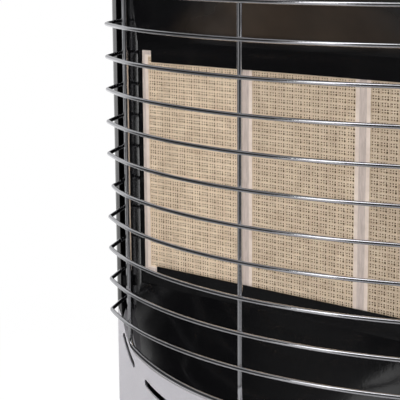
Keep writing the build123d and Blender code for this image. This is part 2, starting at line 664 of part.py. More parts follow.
def side_reflector(side):
    """Flat cheek between the burner's side and the window's edge."""
    inner_y = BURNER_Y - SHEET / 2
    edge_gap = 2 * BUTT_GAP
    corners = [
        (REFLECTOR_INNER_X, inner_y, UPPER_LIP_Z + LIP_HEIGHT - edge_gap),
        (REFLECTOR_OUTER_X, REFLECTOR_OUTER_Y, WINDOW_TOP - edge_gap),
        (REFLECTOR_OUTER_X, REFLECTOR_OUTER_Y, WINDOW_BOTTOM + edge_gap),
        (REFLECTOR_INNER_X, inner_y, LOWER_LIP_Z - LIP_HEIGHT + edge_gap),
    ]
    points = [Vector(side * x, y, z) for x, y, z in corners]
    face = Face(Wire.make_polygon(points, close=True))
    sheet = extrude(face, amount=SHEET, dir=(0, 1, 0))
    return sheet & along_y(window_drawing(-BUTT_GAP), FRONT_Y, BURNER_Y + WINDOW_WIDTH)


# ---------------------------------------------------------------- wire guard
def guard_point(radius, angle, z=0.0):
    """A point on the guard's bow, at an angle from straight ahead."""
    return Vector(radius * sin(angle), BOW_CENTRE_Y - radius * cos(angle), z)


def mirrored(point):
    return Vector(-point.X, point.Y)


def octagon(size):
    """Eight flats, one of them facing straight out of the guard."""
    return RegularPolygon(size / 2, 8, major_radius=False, rotation=22.5)


def guard_wire(z):
    """One bowed wire: a long arc, a tight bend at each end, and a leg aimed at the rod."""
    bow_angle = asin(GUARD_BOW_HALF_WIDTH / GUARD_RADIUS)
    tip = guard_point(GUARD_RADIUS, bow_angle)
    centre = tip + Vector(-sin(bow_angle), cos(bow_angle)) * GUARD_HOOK_RADIUS
    to_rod = Vector(GUARD_ROD_X, GUARD_ROD_Y) - centre
    leg = sqrt(to_rod.length**2 - GUARD_HOOK_RADIUS**2)
    hook_angle = atan2(to_rod.Y, to_rod.X) + atan2(GUARD_HOOK_RADIUS, leg)
    mid_angle = (bow_angle + hook_angle) / 2
    bend_mid = centre + Vector(sin(mid_angle), -cos(mid_angle)) * GUARD_HOOK_RADIUS
    bend_end = centre + Vector(sin(hook_angle), -cos(hook_angle)) * GUARD_HOOK_RADIUS
    leg_end = bend_end + Vector(cos(hook_angle), sin(hook_angle)) * (leg - GUARD_ROD / 2)
    path = [
        Line(mirrored(leg_end), mirrored(bend_end)),
        ThreePointArc(mirrored(bend_end), mirrored(bend_mid), mirrored(tip)),
        ThreePointArc(mirrored(tip), guard_point(GUARD_RADIUS, 0), tip),
        ThreePointArc(tip, bend_mid, bend_end),
        Line(bend_end, leg_end),
    ]
    wire = Wire([edge.edge() for edge in path])
    start = Plane(origin=wire @ 0, z_dir=wire % 0, x_dir=(0, 0, 1))
    return Pos(0, 0, z) * sweep(start * octagon(GUARD_WIRE), path=wire)


def guard_wires():
    wires = []
    for number in range(1, GUARD_WIRES + 1):
        wires.append(guard_wire(GUARD_BOTTOM_Z + number * GUARD_PITCH))
    return Compound(children=wires)


def frame_corner(middle_z, up):
    """Half of a bowed rail and the bend that turns it into an upright."""
    upright_angle = asin(GUARD_UPRIGHT_X / UPRIGHT_RADIUS)
    tilt = atan2(2 * GUARD_FRAME_SAG, UPRIGHT_RADIUS * upright_angle)
    run = GUARD_FRAME_BEND * (1 - sin(tilt))
    rail_radius = sqrt(UPRIGHT_RADIUS**2 - run**2)
    rail_angle = upright_angle - atan2(run, rail_radius)
    points = []
    for step in range(GUARD_RAIL_STEPS + 1):
        share = step / GUARD_RAIL_STEPS
        rise = up * GUARD_FRAME_SAG * share**2
        points.append(guard_point(rail_radius, share * rail_angle, middle_z + rise))
    away = Vector(cos(rail_angle), sin(rail_angle)) * GUARD_FRAME_BEND
    climb = Vector(0, 0, up * GUARD_FRAME_BEND)
    mid = (tilt + pi / 2) / 2
    knee = points[-1] + away * (sin(mid) - sin(tilt)) + climb * (cos(tilt) - cos(mid))
    foot = points[-1] + away * (1 - sin(tilt)) + climb * cos(tilt)
    rail = Spline(*points, tangents=[(1, 0, 0), away * cos(tilt) + climb * sin(tilt)])
    return rail.edge(), ThreePointArc(points[-1], knee, foot).edge(), foot


def guard_frame():
    """Looped frame wire behind the bowed wires, a middle upright and the two end rods."""
    low_z = GUARD_BOTTOM_Z - GUARD_FRAME_DROP
    high_z = GUARD_TOP_Z + GUARD_FRAME_DROP
    low_rail, low_bend, low_end = frame_corner(low_z, 1)
    high_rail, high_bend, high_end = frame_corner(high_z, -1)
    upright = Line(low_end, high_end).edge()
    path = Wire([low_rail, low_bend, upright, high_bend, high_rail])
    start = Plane(origin=path @ 0, z_dir=path % 0, x_dir=(0, 0, 1))
    half_loop = sweep(start * Circle(GUARD_FRAME_WIRE / 2), path=path)
    frame = half_loop + mirror(half_loop, Plane.YZ)
    middle_y = BOW_CENTRE_Y - UPRIGHT_RADIUS
    frame += post(0, middle_y, low_z, high_z, GUARD_FRAME_WIRE / 2)
    pieces = [frame.solid()]
    bottom = GUARD_BOTTOM_Z + GUARD_ROD_TRIM
    top = GUARD_TOP_Z - GUARD_ROD_TRIM
    for side in SIDES.values():
        rod = post(side * GUARD_ROD_X, GUARD_ROD_Y, bottom, top, GUARD_ROD / 2)
        pieces.append(rod.solid())
    return Compound(children=pieces)


def guard_clips():
    """Four blocks on the window's flanges, each hollowed to hold an end rod from the front."""
    clips = []
    rod = GUARD_ROD / 2
    for side in SIDES.values():
        x_range = sorted((side * (GUARD_ROD_X - rod - SHEET), side * WINDOW_WIDTH / 2))
        y_range = (GUARD_ROD_Y - rod - SHEET, GUARD_ROD_Y)
        for z in (GUARD_BOTTOM_Z + GUARD_CLIP_INSET, GUARD_TOP_Z - GUARD_CLIP_INSET):
            z_range = (z - GUARD_CLIP_HEIGHT / 2, z + GUARD_CLIP_HEIGHT / 2)
            hole = post(side * GUARD_ROD_X, GUARD_ROD_Y, *z_range, rod)
            clips.append((block(x_range, y_range, z_range) - hole).solid())
    return Compound(children=clips)


# ---------------------------------------------------------------- gas train
def gas_manifold():
    """Pipe under the venturi tubes, with a boss for each jet."""
    left = burner_x(0) - 2 * MANIFOLD_RADIUS
    right = FEED_PIPE_X - PIPE_BEND
    pipe = rod_along_x(VENTURI_Y, MANIFOLD_Z, left, right, MANIFOLD_RADIUS)
    for number in range(PLAQUE_COUNT):
        boss_top = MANIFOLD_Z + MANIFOLD_RADIUS + SHEET
        pipe += post(burner_x(number), VENTURI_Y, MANIFOLD_Z, boss_top, JET_RADIUS)
    return pipe


def injector_jets():
    """A hexagon and a tapered tip on each boss, just below the venturi's mouth."""
    jets = []
    foot = MANIFOLD_Z + MANIFOLD_RADIUS + SHEET
    half = JET_HEIGHT / 2
    hexagon = extrude(RegularPolygon(JET_HEXAGON_RADIUS, 6), half)
    tip = Pos(0, 0, half + half / 2) * Cone(JET_RADIUS, JET_RADIUS / 2, half)
    for number in range(PLAQUE_COUNT):
        jets.append((Pos(burner_x(number), VENTURI_Y, foot) * (hexagon + tip)).solid())
    return Compound(children=jets)


def manifold_brackets():
    """Two straps from the heat shield that clip round the manifold."""
    straps = []
    width = 2 * MANIFOLD_RADIUS
    for number in (0, PLAQUE_COUNT - 2):
        x = (burner_x(number) + burner_x(number + 1)) / 2
        x_range = (x - width / 2, x + width / 2)
        leg_z = (MANIFOLD_Z - SHEET, MANIFOLD_Z + SHEET)
        foot_z = (MANIFOLD_Z, max(MANIFOLD_Z, SHIELD_BOTTOM) + 3 * width)
        strap = block(x_range, (VENTURI_Y, SHIELD_Y), leg_z)
        strap += block(x_range, (SHIELD_Y - 2 * SHEET, SHIELD_Y), foot_z)
        strap += rod_along_x(VENTURI_Y, MANIFOLD_Z, *x_range, MANIFOLD_RADIUS + SHEET)
        strap -= rod_along_x(VENTURI_Y, MANIFOLD_Z, *x_range, MANIFOLD_RADIUS)
        straps.append(strap.solid())
    return Compound(children=straps)


def bent_pipe(points, radius, bend):
    path = FilletPolyline(*points, radius=bend)
    start = Plane(origin=path @ 0, z_dir=path % 0)
    return sweep(start * Circle(radius), path=path)


def feed_pipe():
    """From the valve over the heat shield and down beside the burners to the manifold."""
    return bent_pipe(
        [
            (KNOB_X, FEED_START_Y, VALVE_PORT_Z),
            (KNOB_X, VENTURI_Y, VALVE_PORT_Z),
            (FEED_PIPE_X, VENTURI_Y, VALVE_PORT_Z),
            (FEED_PIPE_X, VENTURI_Y, MANIFOLD_Z),
            (FEED_PIPE_X - PIPE_BEND, VENTURI_Y, MANIFOLD_Z),
        ],
        PIPE_RADIUS,
        FEED_PIPE_BEND,
    )


def supply_pipe():
    end_y = SUPPLY_START_Y + SUPPLY_PIPE_RUN
    return bent_pipe(
        [
            (KNOB_X, SUPPLY_START_Y, VALVE_PORT_Z),
            (KNOB_X, end_y, VALVE_PORT_Z),
            (KNOB_X, end_y, VALVE_PORT_Z - SUPPLY_PIPE_DROP),
        ],
        PIPE_RADIUS,
        PIPE_BEND,
    )


def hose_nozzle():
    """Hexagon and plain spigot that the gas hose is clamped on."""
    y = SUPPLY_START_Y + SUPPLY_PIPE_RUN
    top = VALVE_PORT_Z - SUPPLY_PIPE_DROP
    nut_foot = top - 2 * PIPE_RADIUS
    hexagon = extrude(RegularPolygon(2 * PIPE_RADIUS, 6), 2 * PIPE_RADIUS)
    nut = Pos(KNOB_X, y, nut_foot) * hexagon
    spigot = post(KNOB_X, y, nut_foot - NOZZLE_LENGTH, nut_foot, NOZZLE_RADIUS)
    bore = post(KNOB_X, y, nut_foot - NOZZLE_LENGTH, top, NOZZLE_RADIUS / 2)
    return nut + spigot - bore


def gas_valve():
    """Cast block with a bore for the spindle, a front outlet and a rear inlet."""
    body = block(
        (KNOB_X - VALVE_WIDTH / 2, KNOB_X + VALVE_WIDTH / 2),
        (PANEL_Y - VALVE_DEPTH / 2, PANEL_Y + VALVE_DEPTH / 2),
        (VALVE_TOP_Z - VALVE_HEIGHT, VALVE_TOP_Z),
    )
    body = fillet(body.edges().filter_by(Axis.Z), VALVE_CORNER)
    body += rod_along_y(KNOB_X, VALVE_PORT_Z, FEED_START_Y, SUPPLY_START_Y, 2 * PIPE_RADIUS)
    bore_foot = VALVE_PORT_Z + 2 * PIPE_RADIUS
    return body - post(KNOB_X, PANEL_Y, bore_foot, VALVE_TOP_Z, SPINDLE_RADIUS + RUNNING_FIT)


# ---------------------------------------------------------------- pilot assembly
def side_sheet_y(x):
    """The front face of the side reflector at a distance from the middle."""
    inner_y = BURNER_Y - SHEET / 2
    share = (x - REFLECTOR_INNER_X) / (REFLECTOR_OUTER_X - REFLECTOR_INNER_X)
    return inner_y + share * (REFLECTOR_OUTER_Y - inner_y)


def behind_side_sheet(shift, bottom, top):
    """The space behind the right side reflector's front face, moved forward by shift."""
    left = PILOT_X - 2 * PROBE_SPACING
    right = REFLECTOR_OUTER_X
    plan = Polyline(
        (left, side_sheet_y(left) - shift),
        (right, side_sheet_y(right) - shift),
        (right, SHIELD_Y),
        (left, SHIELD_Y),
        close=True,
    )
    return extrude(Pos(0, 0, bottom) * make_face(plan), top - bottom)


def pilot_bracket():
    """Angle plate on the side reflector that holds the pilot, probe and electrode."""
    half = PROBE_SPACING + 2 * PROBE_RADIUS
    x_range = (PILOT_X - half, PILOT_X + half)
    y_range = (PILOT_Y - PILOT_RADIUS - 2 * SHEET, side_sheet_y(PILOT_X + half))
    foot_z = (PILOT_Z - PILOT_FOOT, PILOT_Z + 2 * SHEET)
    shelf_z = (PILOT_Z, PILOT_Z + 2 * SHEET)
    foot = block(x_range, y_range, foot_z) & behind_side_sheet(2 * SHEET, *foot_z)
    bracket = block(x_range, y_range, shelf_z) + foot
    bracket -= behind_side_sheet(0, *foot_z)
    bracket -= post(PILOT_X, PILOT_Y, *shelf_z, PILOT_RADIUS)
    for side in (-1, 1):
        bracket -= post(PILOT_X + side * PROBE_SPACING, PILOT_Y, *shelf_z, PROBE_RADIUS)
    return bracket


def pilot_burner():
    """Small burner with a slot that throws its flame over the nearest plaque."""
    foot = PILOT_Z - PILOT_FOOT
    top = foot + PILOT_HEIGHT
    body = post(PILOT_X, PILOT_Y, foot, top, PILOT_RADIUS)
    slot_y = (PILOT_Y - PROBE_RADIUS, PILOT_Y + PROBE_RADIUS)
    slot_z = (top - 2 * PROBE_RADIUS, top - PROBE_RADIUS)
    return body - block((PILOT_X - PILOT_RADIUS, PILOT_X), slot_y, slot_z)


def pilot_probe(x):
    foot = PILOT_Z - PILOT_FOOT - 2 * SHEET
    return post(x, PILOT_Y, foot, foot + PROBE_HEIGHT, PROBE_RADIUS)


# ---------------------------------------------------------------- top cover and controls
def panel_pocket(grow, bottom, top):
    drawing = Pos(PANEL_X, PANEL_Y) * RectangleRounded(
        PANEL_LENGTH + 2 * grow, PANEL_WIDTH + 2 * grow, PANEL_CORNER + grow
    )
    return extrude(Pos(0, 0, bottom) * drawing, top - bottom)


def control_holes(bottom, top):
    """Clear holes for the valve's spindle and the igniter button's stem."""
    spindle = post(KNOB_X, PANEL_Y, bottom, top, SPINDLE_RADIUS + SPINDLE_CLEARANCE)
    return spindle + post(BUTTON_X, PANEL_Y, bottom, top, BUTTON_STEM_RADIUS + MOVING_GAP)


def top_cover():
    """Moulded lid: rounded edge, spigot inside the panels, sunk panel for the controls."""
    lid = plan_prism(0, SHELL_TOP, TOP_Z)
    lid = fillet(lid.faces().sort_by(Axis.Z)[-1].outer_wire().edges(), COVER_EDGE_RADIUS)
    lid -= plan_prism(COVER_WALL, SHELL_TOP, TOP_Z - COVER_WALL - COVER_EDGE_RADIUS / 2)
    lid += plan_band(SHEET + BUTT_GAP, COVER_WALL, SHELL_TOP - COVER_SPIGOT, SHELL_TOP + COVER_WALL)
    lid += panel_pocket(COVER_WALL, PANEL_UNDERSIDE_Z, TOP_Z - COVER_WALL)
    lid -= panel_pocket(0, PANEL_FLOOR_Z, TOP_Z)
    return lid - control_holes(PANEL_UNDERSIDE_Z, PANEL_FLOOR_Z)


def control_bracket():
    """Flat plate under the control panel that the valve and the igniter hang from."""
    half_depth = VALVE_DEPTH / 2 + BRACKET_MARGIN
    left = BUTTON_X - IGNITER_RADIUS - BRACKET_MARGIN
    right = KNOB_X + VALVE_WIDTH / 2 + BRACKET_MARGIN
    y_range = (PANEL_Y - half_depth, PANEL_Y + half_depth)
    plate = block((left, right), y_range, (VALVE_TOP_Z, PANEL_UNDERSIDE_Z))
    return plate - control_holes(VALVE_TOP_Z, PANEL_UNDERSIDE_Z)


def control_knob():
    """Round skirt with a raised finger bar and a pointer groove."""
    foot = PANEL_FLOOR_Z + MOVING_GAP
    top = foot + KNOB_HEIGHT
    skirt = post(0, 0, foot, foot + KNOB_SKIRT, KNOB_RADIUS)
    skirt = chamfer(skirt.edges().sort_by(Axis.Z)[-1], KNOB_CHAMFER)
    crown_height = KNOB_HEIGHT - KNOB_SKIRT
    crown = extrude(Circle(KNOB_CROWN_RADIUS), crown_height, taper=KNOB_CROWN_TAPER)
    crown = Pos(0, 0, foot + KNOB_SKIRT) * crown
    grip_foot = foot + KNOB_SKIRT + KNOB_GRIP_FOOT
    for side in (-1, 1):
        y_range = sorted((side * KNOB_GRIP_WIDTH / 2, side * KNOB_RADIUS))
        crown -= block((-KNOB_RADIUS, KNOB_RADIUS), y_range, (grip_foot, top))
    knob = skirt + crown
    pointer_y = (-KNOB_POINTER_WIDTH / 2, KNOB_POINTER_WIDTH / 2)
    pointer_z = (top - KNOB_POINTER_DEPTH, top)
    knob -= block((KNOB_POINTER_START, KNOB_RADIUS), pointer_y, pointer_z)
    knob -= post(0, 0, foot, foot + KNOB_BORE_DEPTH, SPINDLE_RADIUS)
    return Pos(KNOB_X, PANEL_Y, 0) * knob


def valve_spindle():
    foot = VALVE_PORT_Z + 2 * PIPE_RADIUS + MOVING_GAP
    top = PANEL_FLOOR_Z + MOVING_GAP + KNOB_BORE_DEPTH
    return post(KNOB_X, PANEL_Y, foot, top, SPINDLE_RADIUS)


def igniter_button():
    """Domed cap on a stem that runs down into the igniter."""
    cap_foot = PANEL_FLOOR_Z + BUTTON_TRAVEL + MOVING_GAP
    cap = post(BUTTON_X, PANEL_Y, cap_foot, cap_foot + BUTTON_PROUD, BUTTON_RADIUS)
    cap = fillet(cap.edges().sort_by(Axis.Z)[-1], BUTTON_DOME)
    stem_foot = VALVE_TOP_Z - IGNITER_BORE + BUTTON_TRAVEL + MOVING_GAP
    return cap + post(BUTTON_X, PANEL_Y, stem_foot, cap_foot + BUTTON_DOME, BUTTON_STEM_RADIUS)


def igniter_body():
    """Piezo striker under the control panel, with a lead terminal at its foot."""
    foot = VALVE_TOP_Z - IGNITER_LENGTH
    body = post(BUTTON_X, PANEL_Y, foot, VALVE_TOP_Z, IGNITER_RADIUS)
    body += post(BUTTON_X, PANEL_Y, foot - TERMINAL_LENGTH, foot, TERMINAL_RADIUS)
    bore = BUTTON_STEM_RADIUS + MOVING_GAP
    return body - post(BUTTON_X, PANEL_Y, VALVE_TOP_Z - IGNITER_BORE, VALVE_TOP_Z, bore)


# ---------------------------------------------------------------- castors
def castor_centre(place):
    """The wheel's middle: each castor trails behind its stem."""
    x, y = CASTOR_PLACES[place]
    return x, y + CASTOR_TRAIL, WHEEL_RADIUS


def castor_fork(place):
    """Hooded fork: a stem, a round head plate and two cheeks down to the axle."""
    x, y = CASTOR_PLACES[place]
    _, axle_y, axle_z = castor_centre(place)
    inner = WHEEL_WIDTH / 2 + WHEEL_GAP
    outer = inner + FORK_WALL
    head_top = BASE_HEIGHT - MOVING_GAP
    clear = WHEEL_RADIUS + WHEEL_TOP_GAP
    boss = Pos(axle_y, axle_z) * Circle(FORK_BOSS)
    hood = Pos(axle_y, axle_z) * Circle(clear + FORK_WALL)
    hood -= Pos(axle_y, axle_z - clear) * Rectangle(4 * clear, 2 * clear)
    head = Pos(y, head_top - FORK_HEAD / 2) * Rectangle(2 * HEAD_RADIUS, FORK_HEAD)
    side = make_hull((boss + hood + head).edges()) & (hood + head + make_hull((boss + head).edges()))
    fork = along_x(side, x - outer, x + outer)
    fork -= rod_along_x(axle_y, axle_z, x - inner, x + inner, clear)
    fork += post(x, y, head_top - FORK_WALL, head_top, HEAD_RADIUS)
    fork += post(x, y, head_top - FORK_WALL, BASE_HEIGHT + STEM_LENGTH, STEM_RADIUS)
    return fork - rod_along_x(axle_y, axle_z, x - outer, x + outer, AXLE_RADIUS)


def castor_wheel(place):
    """Moulded wheel: crowned tread, dished faces and a hub."""
    x, y, z = castor_centre(place)
    bore = AXLE_RADIUS + RUNNING_FIT
    half = WHEEL_WIDTH / 2
    hub = AXLE_RADIUS + WHEEL_DISH
    rim = WHEEL_RADIUS - WHEEL_DISH
    web = half - WHEEL_DISH
    crown = WHEEL_RADIUS - WHEEL_CROWN
    flat = half - 2 * WHEEL_CROWN
    right = [
        (WHEEL_RADIUS, flat), (crown, half), (rim, half), (rim, web), (hub, web), (hub, half),
        (bore, half),
    ]
    left = [(radius, -across) for radius, across in reversed(right)]
    profile = Polyline(*left, *right, close=True)
    wheel = revolve(Plane.XZ * make_face(profile), Axis.Z)
    return Pos(x, y, z) * Rot(0, 90, 0) * wheel


def castor_axle(place):
    x, y, z = castor_centre(place)
    outer = WHEEL_WIDTH / 2 + WHEEL_GAP + FORK_WALL
    axle = rod_along_x(y, z, x - outer, x + outer, AXLE_RADIUS)
    for side in (-1, 1):
        head = sorted((x + side * outer, x + side * (outer + AXLE_RADIUS / 2)))
        axle += rod_along_x(y, z, *head, 1.5 * AXLE_RADIUS)
    return axle


# ---------------------------------------------------------------- fasteners
def shell_screws():
    """Pan-head screws that fix the side panels to the base pan and to the top rail."""
    screws = []
    for side in SIDES.values():
        face = side * CABINET_WIDTH / 2
        for y in (SEAM_Y + SCREW_INSET, HAND_HOLE_Y, REAR_Y - SCREW_INSET):
            head = sorted((face, face + side * SCREW_HEAD_HEIGHT))
            screws.append(rod_along_x(y, SCREW_Z, *head, SCREW_HEAD_RADIUS).solid())
    return Compound(children=screws)


def parts():
    """Every piece of the heater by name."""
    made = {
        "base_pan": base_pan(),
        "lower_front_panel": lower_front_panel(),
        "upper_front_surround": upper_front_surround(),
        "rear_rail": rear_rail(),
        "rear_cover": rear_cover(),
        "top_cover": top_cover(),
        "burner_fascia": burner_fascia(),
        "heat_shield": heat_shield(),
        "upper_reflector": reflector(1),
        "lower_reflector": reflector(-1),
        "guard_wires": guard_wires(),
        "guard_frame": guard_frame(),
        "guard_clips": guard_clips(),
        "shell_screws": shell_screws(),
        "gas_manifold": gas_manifold(),
        "injector_jets": injector_jets(),
        "manifold_brackets": manifold_brackets(),
        "feed_pipe": feed_pipe(),
        "supply_pipe": supply_pipe(),
        "hose_nozzle": hose_nozzle(),
        "gas_valve": gas_valve(),
        "valve_spindle": valve_spindle(),
        "control_bracket": control_bracket(),
        "control_knob": control_knob(),
        "igniter_button": igniter_button(),
        "igniter_body": igniter_body(),
        "pilot_bracket": pilot_bracket(),
        "pilot_burner": pilot_burner(),
        "thermocouple": pilot_probe(PILOT_X - PROBE_SPACING),
        "spark_electrode": pilot_probe(PILOT_X + PROBE_SPACING),
    }
    for name, side in SIDES.items():
        made[f"side_panel_{name}"] = side_panel(side)
        made[f"side_reflector_{name}"] = side_reflector(side)
    for number in range(PLAQUE_COUNT):
        made[f"ceramic_plaque_{number + 1}"] = ceramic_plaque(number)
        made[f"plaque_gasket_{number + 1}"] = plaque_gasket(number)
        made[f"burner_plenum_{number + 1}"] = burner_plenum(number)
        made[f"venturi_tube_{number + 1}"] = venturi_tube(number)
    for place in CASTOR_PLACES:
        made[f"castor_fork_{place}"] = castor_fork(place)
        made[f"castor_wheel_{place}"] = castor_wheel(place)
        made[f"castor_axle_{place}"] = castor_axle(place)
    return made


os.makedirs("parts", exist_ok=True)
for node, shape in parts().items():
    export_step(shape, f"parts/{node}.step")
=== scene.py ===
"""Looks for the three-plaque cabinet heater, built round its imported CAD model. Metres, Z up."""

import json
import math

import bpy
import numpy as np
from mathutils import Matrix, Vector


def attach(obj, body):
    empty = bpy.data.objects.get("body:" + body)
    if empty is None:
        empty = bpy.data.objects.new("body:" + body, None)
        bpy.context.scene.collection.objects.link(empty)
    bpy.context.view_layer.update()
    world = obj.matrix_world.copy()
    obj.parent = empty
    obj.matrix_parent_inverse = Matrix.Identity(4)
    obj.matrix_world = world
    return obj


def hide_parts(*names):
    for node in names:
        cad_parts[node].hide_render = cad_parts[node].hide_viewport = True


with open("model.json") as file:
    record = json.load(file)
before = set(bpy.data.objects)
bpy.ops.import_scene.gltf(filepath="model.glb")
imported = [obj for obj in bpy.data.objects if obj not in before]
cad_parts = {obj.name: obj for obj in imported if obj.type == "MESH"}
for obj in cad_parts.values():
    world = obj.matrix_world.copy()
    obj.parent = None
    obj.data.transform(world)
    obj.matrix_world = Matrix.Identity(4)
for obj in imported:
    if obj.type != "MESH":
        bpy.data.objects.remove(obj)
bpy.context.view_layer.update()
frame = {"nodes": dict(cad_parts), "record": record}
rng = np.random.default_rng(41)

# ---------------------------------------------------------------- sizes shared with the CAD source
BOW_CENTRE_Y = 0.1215
GUARD_RADIUS = 0.320
WIRE_RADIUS = 0.0015
FRAME_WIRE_RADIUS = 0.00175
ROD_RADIUS = 0.002
GUARD_BOTTOM_Z = 0.386
GUARD_PITCH = 0.02466
WIRE_COUNT = 12
ROD_X = 0.1905
ROD_Y = -0.11062
ROD_TRIM = 0.0123
BOW_HALF_WIDTH = 0.168
HOOK_RADIUS = 0.009
UPRIGHT_X = 0.134
FRAME_DROP = 0.0043
PLAQUE_SIZE = (0.096, 0.013, 0.1655)
PLAQUE_PITCH = 0.102
PLAQUE_Y = -0.1285
BURNER_Z = 0.5266
PANEL_FLOOR_Z = 0.753
KNOB_AXIS = (0.140, 0.0895)

GUARD_TOP_Z = GUARD_BOTTOM_Z + (WIRE_COUNT + 1) * GUARD_PITCH
UPRIGHT_RADIUS = GUARD_RADIUS - WIRE_RADIUS - FRAME_WIRE_RADIUS

# ---------------------------------------------------------------- node helpers
RANGE_SOCKETS = ("From Min", "From Max", "To Min", "To Max")


def nodes_of(name):
    """A new material with one bare shader, as the material, its node tree and the shader."""
    made = bpy.data.materials.new(name)
    made.use_nodes = True
    tree = made.node_tree
    tree.nodes.clear()
    out = tree.nodes.new("ShaderNodeOutputMaterial")
    shader = tree.nodes.new("ShaderNodeBsdfPrincipled")
    tree.links.new(shader.outputs[0], out.inputs[0])
    return made, tree, shader


def place(tree, stretch=(1, 1, 1)):
    """The piece's own coordinates, in metres, squeezed along an axis if wanted."""
    spot = tree.nodes.new("ShaderNodeTexCoord")
    scaled = tree.nodes.new("ShaderNodeMapping")
    scaled.inputs["Scale"].default_value = stretch
    tree.links.new(spot.outputs["Object"], scaled.inputs["Vector"])
    return scaled.outputs["Vector"]


def noise(tree, scale, detail=3.0, stretch=(1, 1, 1), rough=0.5):
    """Clouded noise with this many waves to the metre."""
    texture = tree.nodes.new("ShaderNodeTexNoise")
    texture.inputs["Scale"].default_value = scale
    texture.inputs["Detail"].default_value = detail
    texture.inputs["Roughness"].default_value = rough
    tree.links.new(place(tree, stretch), texture.inputs["Vector"])
    return texture.outputs["Fac"]


def cells(tree, scale, feature="F1", output="Distance"):
    """A pattern of random cells, this many to the metre."""
    texture = tree.nodes.new("ShaderNodeTexVoronoi")
    texture.feature = feature
    texture.inputs["Scale"].default_value = scale
    tree.links.new(place(tree), texture.inputs["Vector"])
    return texture.outputs[output]


def cell_values(tree, scale):
    """Three random values for each cell."""
    split = tree.nodes.new("ShaderNodeSeparateColor")
    tree.links.new(cells(tree, scale, output="Color"), split.inputs[0])
    return split.outputs


def spread(tree, value, low, high, start=0.3, end=0.7, smooth=False):
    """A value mapped from start and end to low and high, and held there beyond them."""
    mapped = tree.nodes.new("ShaderNodeMapRange")
    if smooth:
        mapped.interpolation_type = "SMOOTHSTEP"
    for socket, number in zip(RANGE_SOCKETS, (start, end, low, high)):
        mapped.inputs[socket].default_value = number
    tree.links.new(value, mapped.inputs["Value"])
    return mapped.outputs["Result"]


def tint(tree, value, dark, light, start=0.3, end=0.7):
    """A value mapped to a colour between dark and light."""
    ramp = tree.nodes.new("ShaderNodeValToRGB")
    ramp.color_ramp.elements[0].position = start
    ramp.color_ramp.elements[0].color = (*dark, 1)
    ramp.color_ramp.elements[1].position = end
    ramp.color_ramp.elements[1].color = (*light, 1)
    tree.links.new(value, ramp.inputs["Fac"])
    return ramp.outputs["Color"]


def bump(tree, shader, layers):
    """Chained bumps: each layer is a height output and its depth in metres."""
    before = None
    for height, depth in layers:
        node = tree.nodes.new("ShaderNodeBump")
        node.inputs["Distance"].default_value = depth
        node.inputs["Strength"].default_value = 1.0
        tree.links.new(height, node.inputs["Height"])
        if before is not None:
            tree.links.new(before, node.inputs["Normal"])
        before = node.outputs["Normal"]
    tree.links.new(before, shader.inputs["Normal"])


def math_node(tree, kind, first, *others):
    """One kind of sum over outputs and plain numbers, taken from the left."""
    for other in others:
        node = tree.nodes.new("ShaderNodeMath")
        node.operation = kind
        for socket, value in zip(node.inputs, (first, other)):
            if isinstance(value, (int, float)):
                socket.default_value = value
            else:
                tree.links.new(value, socket)
        first = node.outputs[0]
    return first


def split_xyz(tree, value):
    """The three parts of a place or direction, by the axis's letter."""
    split = tree.nodes.new("ShaderNodeSeparateXYZ")
    tree.links.new(value, split.inputs[0])
    return split.outputs


def finish_of(shader, **values):
    """Plain values for the shader's inputs, by name."""
    for name, value in values.items():
        socket = shader.inputs[name.replace("_", " ")]
        socket.default_value = (*value, 1) if isinstance(value, tuple) else value


def feed(tree, shader, **sources):
    """Node outputs for the shader's inputs, by name."""
    for name, source in sources.items():
        tree.links.new(source, shader.inputs[name.replace("_", " ")])


# ---------------------------------------------------------------- materials
BLACK_ENAMEL = (0.0035, 0.0035, 0.004)
ENAMEL_SPECULAR = 0.33
FINE_BUMP = 0.00003

# A painted reflection: the brown of the plaques mirrored in the enamel over the burner, painted
# into its colour, with where it lies and how it spreads.
PAINTED_REFLECTION_BROWN = (0.046, 0.033, 0.0235)
PAINTED_REFLECTION_HALF_WIDTH = (0.055, 0.14)
PAINTED_REFLECTION_WANDER = 0.035
PAINTED_REFLECTION_LIP_Z = (0.622, 0.630)
PAINTED_REFLECTION_TOP_Z = (0.656, 0.668)
PAINTED_REFLECTION_ARCH = 1.7


def silver_enamel():
    """Lilac-silver enamel with fine flakes under a thin clear coat."""
    made, tree, s = nodes_of("silver_enamel")
    finish_of(s, Metallic=0.12, Coat_Weight=0.35, Coat_Roughness=0.12)
    flakes = cell_values(tree, 2600)[0]
    colour = tint(tree, flakes, (0.56, 0.545, 0.585), (0.645, 0.625, 0.665), 0.0, 1.0)
    feed(tree, s, Base_Color=colour, Roughness=spread(tree, noise(tree, 35, 4), 0.30, 0.40))
    bump(tree, s, [(noise(tree, 420, 2), FINE_BUMP), (noise(tree, 18, 1), 0.00025)])
    return made


def enamel_surface(tree, s, low, high):
    """The black enamel's shine, its fine grain and the slight waves of its sheet."""
    finish_of(s, Specular_IOR_Level=ENAMEL_SPECULAR)
    feed(tree, s, Roughness=spread(tree, noise(tree, 26, 4), low, high))
    bump(tree, s, [(noise(tree, 380, 2), FINE_BUMP), (noise(tree, 24, 1), 0.0003)])


def gloss_black():
    """Gloss black enamel."""
    made, tree, s = nodes_of("black_gloss_enamel")
    finish_of(s, Base_Color=BLACK_ENAMEL)
    enamel_surface(tree, s, 0.09, 0.2)
    return made


